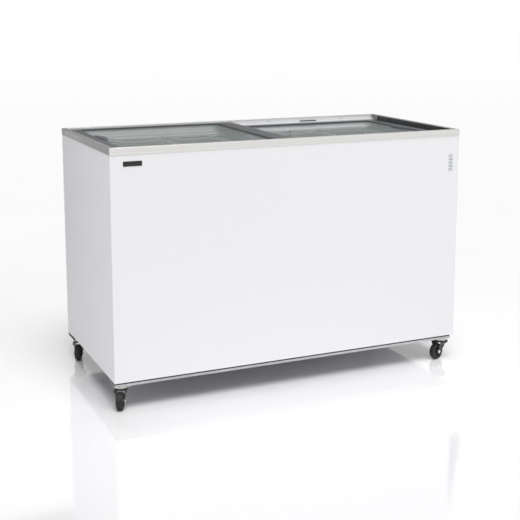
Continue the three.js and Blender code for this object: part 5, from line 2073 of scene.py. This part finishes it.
    def _wheel(self) -> None:
        """Build the ribbed tread on its spoked core."""
        r, half = self.wheel_radius - 0.05 * MM, self.wheel_half
        groove = 0.9 * MM
        shoulder = half - 1.2 * MM
        tread = [(r - 9 * MM, shoulder)]
        tread += [(r - 3.7 * MM, shoulder), (r - 2.4 * MM, shoulder - 1.4 * MM),
                  (r - 1.2 * MM, shoulder - 3.4 * MM)]
        for centre in (5, 0, -5):
            z = centre * MM
            tread += [(r - 0.05 * MM, z + 1.3 * MM), (r - groove, z + 0.7 * MM),
                      (r - groove, z - 0.7 * MM), (r - 0.05 * MM, z - 1.3 * MM)]
        tread += [(r - 1.2 * MM, -shoulder + 3.4 * MM), (r - 2.4 * MM, -shoulder + 1.4 * MM),
                  (r - 3.7 * MM, -shoulder), (r - 9 * MM, -shoulder)]
        rubber = Form()
        rubber.turned(tread, 64, self.wheel_place)
        body = f"roller_{self.corner}"
        self.maker.piece(
            f"caster_{self.corner}_tread", rubber, TREAD_RUBBER, body, "wheel_rubber",
            [f"caster_wheel_{self.corner}"],
        )
        core = Form()
        rim, web = r - 8.9 * MM, half - 5.5 * MM
        near = [(4.3 * MM, half), (9.4 * MM, half), (10.4 * MM, half - 1 * MM), (11.2 * MM, web),
                (rim - 2.6 * MM, web), (rim - 1.8 * MM, shoulder - 0.5 * MM),
                (rim, shoulder - 0.2 * MM)]
        core.turned([*near, *[(a, -z) for a, z in reversed(near)]], 48, self.wheel_place)
        spokes = 6
        for i in range(spokes):
            for side in (-1, 1):
                low, high = sorted((side * (web - 0.5 * MM), side * (half - 2.6 * MM)))
                place = self.wheel_place @ turn("Z", 360 * i / spokes)
                core.block(
                    (10.4 * MM, -1.3 * MM, low), (rim - 1.6 * MM, 1.3 * MM, high), 0.4 * MM, 1,
                    place,
                )
        self.maker.piece(f"caster_{self.corner}_core", core, WHEEL_CORE, body, "wheel_rubber")


@dataclass
class CoolingUnit:
    """What stands in the compressor bay."""

    maker: Maker
    fin_pitch: float = 6 * MM

    def build(self) -> None:
        """Build the compressor, condenser, fan, drier and pipes."""
        self._compressor()
        self._condenser()
        self._fan()
        self._small_parts()

    def _compressor(self) -> None:
        """Build the pressed compressor can on its feet."""
        box = Extent.of("compressor")
        place = moved(joint_named("fan_spin")["pos_m"][0] + 8 * MM, box.middle.y, 0)
        base = box.low.z
        can, r, h = base + 12 * MM, 84 * MM, 178 * MM
        form = Form()
        shares = [
            (0.82, 0.05), (0.94, 0.16), (0.98, 0.40), (1, 0.46), (1, 0.52), (0.98, 0.55),
            (0.965, 0.7), (0.9, 0.84), (0.72, 0.93), (0.38, 0.985),
        ]
        profile = [(0, can + 1 * MM), (r * 0.62, can + 2 * MM)]
        profile += [(r * across, can + h * up) for across, up in shares]
        form.turned([*profile, (0, can + h)], 56, place)
        outline = rounded((-r * 1.14, -r * 0.86), (r * 1.14, r * 0.86), 12 * MM, 5)
        form.plate(outline, [], can, can + 4 * MM, 0.6 * MM, 1, place)
        form.block(
            (-r - 16 * MM, -26 * MM, can + h * 0.3), (-r * 0.8, 26 * MM, can + h * 0.66), 3 * MM, 3,
            place,
        )
        stub = place @ moved(0, r * 0.45, 0)
        low, pipe = can + h * 0.8, 5 * MM
        form.turned([(0, low), (pipe, low), (pipe, box.high.z), (0, box.high.z)], 20, stub)
        self.maker.piece(
            "compressor_can", form, BLACK_ENAMEL, CABINET, "black_steel", ["compressor"]
        )
        feet = Form()
        for sx in (-1, 1):
            for sy in (-1, 1):
                foot = place @ moved(sx * r * 0.98, sy * r * 0.68, 0)
                feet.turned(
                    [(0, base), (10 * MM, base), (11 * MM, base + 2 * MM),
                     (8.6 * MM, base + 6 * MM), (11 * MM, base + 10 * MM), (10 * MM, can),
                     (0, can)],
                    24, foot,
                )
        self.maker.piece("compressor_feet", feet, TREAD_RUBBER, CABINET, "wheel_rubber")

    def _condenser(self) -> None:
        """Build the condenser as thin fins between end plates, threaded by straight tubes."""
        box = Extent.of("condenser")
        plates = Form()
        for x in (box.low.x, box.high.x - 3 * MM):
            high = (x + 3 * MM, box.high.y, box.high.z)
            plates.block((x, box.low.y, box.low.z), high, 0.6 * MM, 1)
        self.maker.piece("condenser_ends", plates, ZINC, CABINET, "condenser_fins", ["condenser"])
        fins = Form()
        low_x, high_x = box.low.x + 6 * MM, box.high.x - 6 * MM
        count = round((high_x - low_x) / self.fin_pitch)
        for i in range(count + 1):
            x = low_x + (high_x - low_x) * i / count
            fins.block(
                (x, box.low.y + 5 * MM, box.low.z + 8 * MM),
                (x + 0.4 * MM, box.high.y - 5 * MM, box.high.z - 6 * MM),
            )
        self.maker.piece("condenser_fins", fins, FIN_METAL, CABINET, "condenser_fins")
        tubes = Form()
        runs = []
        rows = 6
        for i in range(rows):
            z = box.low.z + 24 * MM + (box.size.z - 50 * MM) * i / (rows - 1)
            for y in (box.middle.y - 11 * MM, box.middle.y + 11 * MM):
                runs.append([(box.low.x + 1 * MM, y, z), (box.high.x - 1 * MM, y, z)])
        tubes.wires(runs, 3.2 * MM, 2)
        self.maker.piece("condenser_tubes", tubes, COPPER, CABINET, "copper_tube")

    def _fan(self) -> None:
        """Build the fan shroud, motor and blades."""
        spin = joint_named("fan_spin")
        centre = Vector(spin["pos_m"])
        shroud = Extent.of("fan_bracket")
        place = moved(*centre) @ turn("X", -90)
        half_x = shroud.size.x / 2
        low_z, high_z = shroud.low.z - centre.z, shroud.high.z - centre.z
        mouth = 93 * MM
        plate = Form()
        outline = rounded((-half_x, -high_z), (half_x, -low_z), 4 * MM, 3)
        plate.plate(outline, [circle((0, 0), mouth, 48)], 0, 2 * MM, 0.3 * MM, 1, place)
        lip, proud = mouth + 1.6 * MM, 6 * MM
        plate.turned([(mouth, 0), (lip, 0), (lip, proud), (mouth, proud)], 64, place)
        back = shroud.high.y - centre.y
        for angle in (30, 150, 270):
            arm = place @ turn("Z", angle)
            end = (mouth + 6 * MM, 5 * MM, back)
            plate.block((mouth, -5 * MM, 0), end, 0.6 * MM, 1, arm)
            plate.block((24 * MM, -5 * MM, back - 3 * MM), end, 0.6 * MM, 1, arm)
        self.maker.piece("fan_shroud", plate, ZINC, CABINET, "galvanised", ["fan_bracket"])
        motor = Form()
        front = 22 * MM
        motor.turned(
            [(0, front), (8 * MM, front), (9 * MM, front + 1 * MM), (27 * MM, front + 2 * MM),
             (30 * MM, front + 5 * MM), (30 * MM, back - 6 * MM), (26 * MM, back - 1 * MM),
             (0, back)],
            40, place,
        )
        self.maker.piece("fan_motor", motor, BLACK_ENAMEL, CABINET, "black_steel")
        blades = Form()
        hub = in_mm((0, 2), (18, 2.4), (23, 5), (24, 9), (24, 18), (0, 18))
        blades.turned(hub, 40, place)
        count = 5
        for i in range(count):
            self._blade(blades, place @ turn("Z", 360 * i / count))
        self.maker.piece("fan_blades", blades, DARK_PLASTIC, "fan", "dark_plastic", ["fan_blade"])

    def _blade(self, form: Form, place: Matrix) -> None:
        """Add one twisted blade.

        Args:
            form: The blades' form.
            place: Turns the first blade's place into this one's.
        """
        made = bmesh.new()
        rows = 7
        columns = 6
        thick = 0.9 * MM
        grid: dict[tuple[int, int, int], bmesh.types.BMVert] = {}
        for i in range(rows + 1):
            radius = 20 * MM + (87 * MM - 20 * MM) * i / rows
            half = 18 * MM + 9 * MM * i / rows
            pitch = math.radians(30 - 10 * i / rows)
            for j in range(columns + 1):
                s = -1 + 2 * j / columns
                across = half * s * math.cos(pitch)
                rise = 10 * MM + half * s * math.sin(pitch) * 0.6 + 1.5 * MM * (1 - s * s)
                reach = math.sqrt(max(radius**2 - across**2, 0))
                for k, lift in enumerate((-thick, thick)):
                    grid[i, j, k] = made.verts.new((reach, across, rise + lift))
        for i in range(rows):
            for j in range(columns):
                for k in (0, 1):
                    made.faces.new(
                        (grid[i, j, k], grid[i + 1, j, k], grid[i + 1, j + 1, k], grid[i, j + 1, k])
                    )
        border = [(i, 0) for i in range(rows)]
        border += [(rows, j) for j in range(columns)]
        border += [(i, columns) for i in range(rows, 0, -1)]
        border += [(0, j) for j in range(columns, 0, -1)]
        for a, b in zip(border, border[1:] + border[:1]):
            made.faces.new((grid[*a, 0], grid[*b, 0], grid[*b, 1], grid[*a, 1]))
        bmesh.ops.recalc_face_normals(made, faces=made.faces)
        form.join(made, place)

    def _small_parts(self) -> None:
        """Build the drier and dress the pipe and the partition."""
        box = Extent.of("filter_drier")
        place = moved(box.middle.x, box.middle.y, box.low.z)
        length = box.size.z
        form = Form()
        form.turned(
            [(0, 0), (4 * MM, 0), (4 * MM, 9 * MM), (6 * MM, 14 * MM), (10 * MM, 18 * MM),
             (11 * MM, 22 * MM), (11 * MM, length - 22 * MM), (10 * MM, length - 18 * MM),
             (6 * MM, length - 14 * MM), (4 * MM, length - 9 * MM), (4 * MM, length), (0, length)],
            32, place,
        )
        self.maker.piece("drier_shell", form, COPPER, CABINET, "copper_tube", ["filter_drier"])
        self.maker.dress("discharge_pipe", COPPER)
        self.maker.dress("bay_partition", ZINC)
        self.maker.dress("insulation_foam", FOAM)


@dataclass
class Controls:
    """The grille, thermostat and cable bush on the back."""

    maker: Maker
    louvres: int = 13

    def build(self) -> None:
        """Build the grille, the thermostat cup and knob, and the bush."""
        self._grille()
        self._cup()
        self._knob()
        self._gland()

    def _grille(self) -> None:
        """Build the grille plate with a pressed hood over each slot."""
        box = Extent.of("rear_grille")
        inset = 12 * MM
        pitch = (box.size.z - 2 * inset) / self.louvres
        half_width = box.size.x / 2 - 1.4 * inset
        plate = Form()
        matrix = moved(0, box.low.y, 0) @ turn("X", 90)
        heights = [box.low.z + inset + pitch * (i + 0.5) for i in range(self.louvres)]
        holes = [slot_hole((box.middle.x, z), half_width, pitch * 0.28) for z in heights]
        outline = rounded((box.low.x, box.low.z), (box.high.x, box.high.z), 4 * MM, 4)
        plate.plate(outline, holes, -box.size.y, 0, 0.25 * MM, 1, matrix)
        rise = 4.2 * MM
        thick = 0.7 * MM
        for z in heights:
            top = z + pitch * 0.30
            low = z - pitch * 0.26
            outer = [(0, top), (rise * 0.55, top - 0.8 * MM), (rise, low + 1.2 * MM), (rise, low)]
            section = [*outer, (rise - thick, low), (rise - thick, low + 1 * MM),
                       (rise * 0.5 - thick * 0.4, top - 0.8 * MM - thick), (0, top - thick)]
            hood = moved(box.middle.x, box.high.y, 0) @ ALONG_X
            plate.extrusion(section[::-1], -half_width, half_width, hood)
            for end in (-1, 1):
                start = end * half_width
                cheek = [(0, top), (0, low), (rise, low), (rise, low + 1.2 * MM),
                         (rise * 0.55, top - 0.8 * MM)]
                plate.extrusion(
                    cheek, min(start, start - end * thick), max(start, start - end * thick), hood
                )
        self.maker.piece("vent_grille", plate, WHITE_PAINT, CABINET, "galvanised", ["rear_grille"])
        screws = Form()
        for sx in (-1, 1):
            for sz in (-1, 1):
                x = box.middle.x + sx * (box.size.x / 2 - 7 * MM)
                z = box.middle.z + sz * (box.size.z / 2 - 7 * MM)
                screw_head(screws, moved(x, box.high.y, z) @ turn("X", -90), 3.6 * MM, 2 * MM)
        self.maker.piece("grille_screws", screws, POLISHED_STEEL, CABINET, "galvanised")

    def _cup(self) -> None:
        """Build the recessed cup with rounded walls and dial marks on its floor."""
        box = Extent.of("thermostat_housing")
        pivot = Vector(joint_named("thermostat_knob_turn")["pos_m"])
        matrix = moved(pivot.x, pivot.y, pivot.z) @ turn("X", -90)
        half, wall, lip = 31 * MM, 2 * MM, 5 * MM
        depth = box.high.y - pivot.y
        inner = half - wall
        outline = rounded((-half, -half), (half, half), 4 * MM, 5)
        hollow = rounded((-inner, -inner), (inner, inner), 3 * MM, 5)
        bore = circle((0, 0), 3.3 * MM, 20)
        form = Form()
        form.plate(outline, [bore], -wall, 0.0, 0.0, 1, matrix)
        form.plate(outline, [hollow], 0.0, depth - 1.4 * MM, 0.0, 1, matrix)
        flange = rounded((-half - lip, -half - lip), (half + lip, half + lip), 6 * MM, 6)
        form.plate(flange, [hollow], depth - 1.4 * MM, depth, 0.4 * MM, 2, matrix)
        reach = 18.6 * MM
        works = rounded((-reach, -reach), (reach, reach), 3 * MM, 3)
        form.plate(works, [bore], -30 * MM, -wall, 0.6 * MM, 1, matrix)
        self.maker.piece(
            "thermostat_cup", form, DARK_PLASTIC, CABINET, "dark_plastic", ["thermostat_housing"]
        )
        marks = Form()
        count = 7
        for i in range(count):
            angle = -135 + 270 * i / (count - 1)
            spot = matrix @ turn("Z", angle + 90)
            size = 1.2 * MM + 0.25 * MM * i
            marks.plate(circle((24.5 * MM, 0), size, 16), [], 0.0, 0.35 * MM, 0.0, 1, spot)
        self.maker.piece("dial_marks", marks, WHITE_PLASTIC, CABINET, "white_plastic")

    def _knob(self) -> None:
        """Build the fluted knob with its pointer."""
        pivot = Vector(joint_named("thermostat_knob_turn")["pos_m"])
        matrix = moved(*pivot) @ turn("X", -90)
        form = Form()
        cap = in_mm((0, 1), (20.2, 1), (20.4, 2.2), (19.6, 3.2), (18, 4.6), (16.8, 13.6),
                    (15.6, 15), (12, 15.4), (0, 15.4))
        form.turned(cap, 60, matrix)
        flutes = 20
        for i in range(flutes):
            spot = matrix @ turn("Z", 360 * i / flutes)
            low, high = (16.6 * MM, -0.8 * MM, 4.2 * MM), (18.3 * MM, 0.8 * MM, 13.2 * MM)
            form.block(low, high, 0.5 * MM, 1, spot)
        form.turned(in_mm((0, -16), (3, -16), (3, 2), (0, 2)), 20, matrix)
        self.maker.piece(
            "thermostat_dial", form, WHITE_PLASTIC, "knob", "white_plastic", ["thermostat_knob"]
        )
        pointer = Form()
        low, high = (-1.2 * MM, -15 * MM, 15 * MM), (1.2 * MM, -2 * MM, 16.1 * MM)
        pointer.block(low, high, 0.3 * MM, 1, matrix)
        self.maker.piece("dial_pointer", pointer, DARK_PLASTIC, "knob", "dark_plastic")

    def _gland(self) -> None:
        """Build the cable bush with its nut behind the sheet."""
        box = Extent.of("cord_gland")
        sheet = Extent.of("back_panel").high.y
        matrix = moved(box.middle.x, sheet, box.middle.z) @ turn("X", -90)
        proud = box.high.y - sheet
        inward = sheet - box.low.y
        form = Form()
        form.turned(
            [(4.5 * MM, -inward), (8 * MM, -inward), (8 * MM, 0.3 * MM), (12 * MM, 0.3 * MM),
             (11.6 * MM, proud * 0.8), (9 * MM, proud), (5.2 * MM, proud), (4.5 * MM, proud * 0.6)],
            40, matrix,
        )
        form.turned(
            [(8 * MM, -inward), (10.8 * MM, -inward), (10.8 * MM, -1.1 * MM), (8 * MM, -1.1 * MM)],
            6, matrix,
        )
        self.maker.piece("cable_bush", form, DARK_PLASTIC, CABINET, "dark_plastic", ["cord_gland"])


@dataclass
class Studio:
    """Pale floor, soft lamps, cards and the camera."""

    camera_place: Point3 = (-1.6437, -3.6906, 1.3829)
    camera_yaw: float = 24.018
    camera_pitch: float = 9.372
    lens: float = 72.32
    lens_shift: float = -0.15
    overhead: float = 2.36
    overhead_spread: float = 36.0
    overhead_tilt: tuple[float, float] = (23.0, -3.0)
    key: float = 18.0
    fill: float = 1.0
    skylight: float = 0.3
    floor_reach: float = 60.0
    back_card: tuple[Point3, Point3] = ((-1.6, 1.0, 1.0), (1.7, 1.1, 1.5))
    end_card: tuple[Point3, Point3] = ((-1.3, 0.1, 0.02), (-1.3, 1.5, 1.3))
    end_card_front: float = 1.0

    def build(self) -> None:
        """Build the stage."""
        self._floor()
        self._cards()
        self._lamps()
        self._world()
        self._camera()
        bpy.context.scene.view_settings.view_transform = "Standard"

    def _stood(self, name: str, corners: list[Point3], finish: Finish) -> bpy.types.Object:
        """Make one flat sheet of the set.

        Args:
            name: Its name.
            corners: Its four corners.
            finish: Its finish.

        Returns:
            The sheet.
        """
        mesh = bpy.data.meshes.new(name)
        mesh.from_pydata(corners, [], [(0, 1, 2, 3)])
        sheet = bpy.data.objects.new(name, mesh)
        bpy.context.scene.collection.objects.link(sheet)
        mesh.materials.append(finish.made())
        return sheet

    def _floor(self) -> None:
        """Build a wide, pale, faintly polished floor."""
        r = self.floor_reach
        corners = [(-r, -r, 0), (r, -r, 0), (r, r, 0), (-r, r, 0)]
        floor = self._stood("floor", corners, STUDIO_FLOOR)

    def _cards(self) -> None:
        """Stand a card for the lids to mirror and one that shades the left end."""
        low, high = self.back_card
        mirrored_card = self._stood("back_card", [
            low, (high[0], low[1], low[2]), high, (low[0], high[1], high[2]),
        ], STUDIO_CARD)
        mirrored_card.visible_diffuse = False
        low, high = self.end_card
        shade = self._stood("end_card", [
            low, (high[0], high[1], low[2]), high, (low[0], low[1], self.end_card_front),
        ], STUDIO_CARD)
        shade.visible_glossy = False
        for card in (mirrored_card, shade):
            card.visible_camera = False
            card.visible_shadow = False
            card.visible_transmission = False

    def _lamps(self) -> None:
        """Hang the soft lamps."""
        sun = bpy.data.lights.new("overhead", "SUN")
        sun.energy = self.overhead
        sun.angle = math.radians(self.overhead_spread)
        hung = bpy.data.objects.new("overhead", sun)
        hung.rotation_euler = (*(math.radians(tilt) for tilt in self.overhead_tilt), 0)
        bpy.context.scene.collection.objects.link(hung)
        self._softbox("key", (2.9, -4.0, 1.2), (0.5, -0.3, 0.6), 2.2, self.key)
        self._softbox("fill", (-2.1, -0.7, 1.1), (-0.7, -0.3, 0.6), 0.8, self.fill)

    def _softbox(
        self, name: str, place: Point3, target: Point3, size: float, energy: float
    ) -> None:
        """Hang one square lamp.

        Args:
            name: Its name.
            place: Where it hangs.
            target: What it points at.
            size: Its edge.
            energy: Its power in watts.
        """
        lamp = bpy.data.lights.new(name, "AREA")
        lamp.shape = "SQUARE"
        lamp.size = size
        lamp.energy = energy
        hung = bpy.data.objects.new(name, lamp)
        hung.visible_camera = False
        hung.visible_glossy = False
        hung.location = place
        away = Vector(target) - Vector(place)
        hung.rotation_euler = away.to_track_quat("-Z", "Y").to_euler()
        bpy.context.scene.collection.objects.link(hung)

    def _world(self) -> None:
        """Set the surroundings: white to the eye and in reflections, softer as light."""
        world = bpy.data.worlds.new("surroundings")
        world.use_nodes = True
        graph = Graph(world.node_tree)
        seen = graph.add("Background", {"Color": (1, 1, 1, 1), "Strength": 1.0})
        lit = graph.add("Background", {"Color": (0.97, 0.98, 1.0, 1), "Strength": self.skylight})
        path = graph.add("LightPath")
        rays = path.outputs["Is Camera Ray"], path.outputs["Is Glossy Ray"]
        bright = graph.worked("MAXIMUM", *rays)
        both = graph.add("MixShader", {0: bright})
        graph.feed(both.inputs[1], lit.outputs[0])
        graph.feed(both.inputs[2], seen.outputs[0])
        graph.feed(world.node_tree.nodes["World Output"].inputs["Surface"], both.outputs[0])
        bpy.context.scene.world = world

    def _camera(self) -> None:
        """Set up the camera."""
        data = bpy.data.cameras.new("camera")
        data.sensor_width = 36.0
        data.lens = self.lens
        data.shift_y = self.lens_shift
        camera = bpy.data.objects.new("camera", data)
        camera.location = self.camera_place
        camera.rotation_euler = (
            math.radians(90 - self.camera_pitch), 0, math.radians(-self.camera_yaw),
        )
        bpy.context.scene.collection.objects.link(camera)
        bpy.context.scene.camera = camera


def main() -> None:
    """Build the whole freezer and its studio, in order."""
    logging.basicConfig(level=logging.INFO, format="%(name)s: %(message)s")
    maker = Maker()
    Studio().build()
    Cabinet(maker).build()
    TopFrame(maker).build()
    LidTracks(maker).build()
    for side in Side:
        SlidingLid(maker, side).build()
    Tank(maker).build()
    for number in range(1, 6):
        Basket(maker, number).build()
    Underframe(maker).build()
    for corner in ("front_left", "front_right", "back_left", "back_right"):
        Caster(maker, corner).build()
    CoolingUnit(maker).build()
    Controls(maker).build()
    LOG.info("%d pieces made", len(maker.made))


if __name__ == "__main__":
    main()
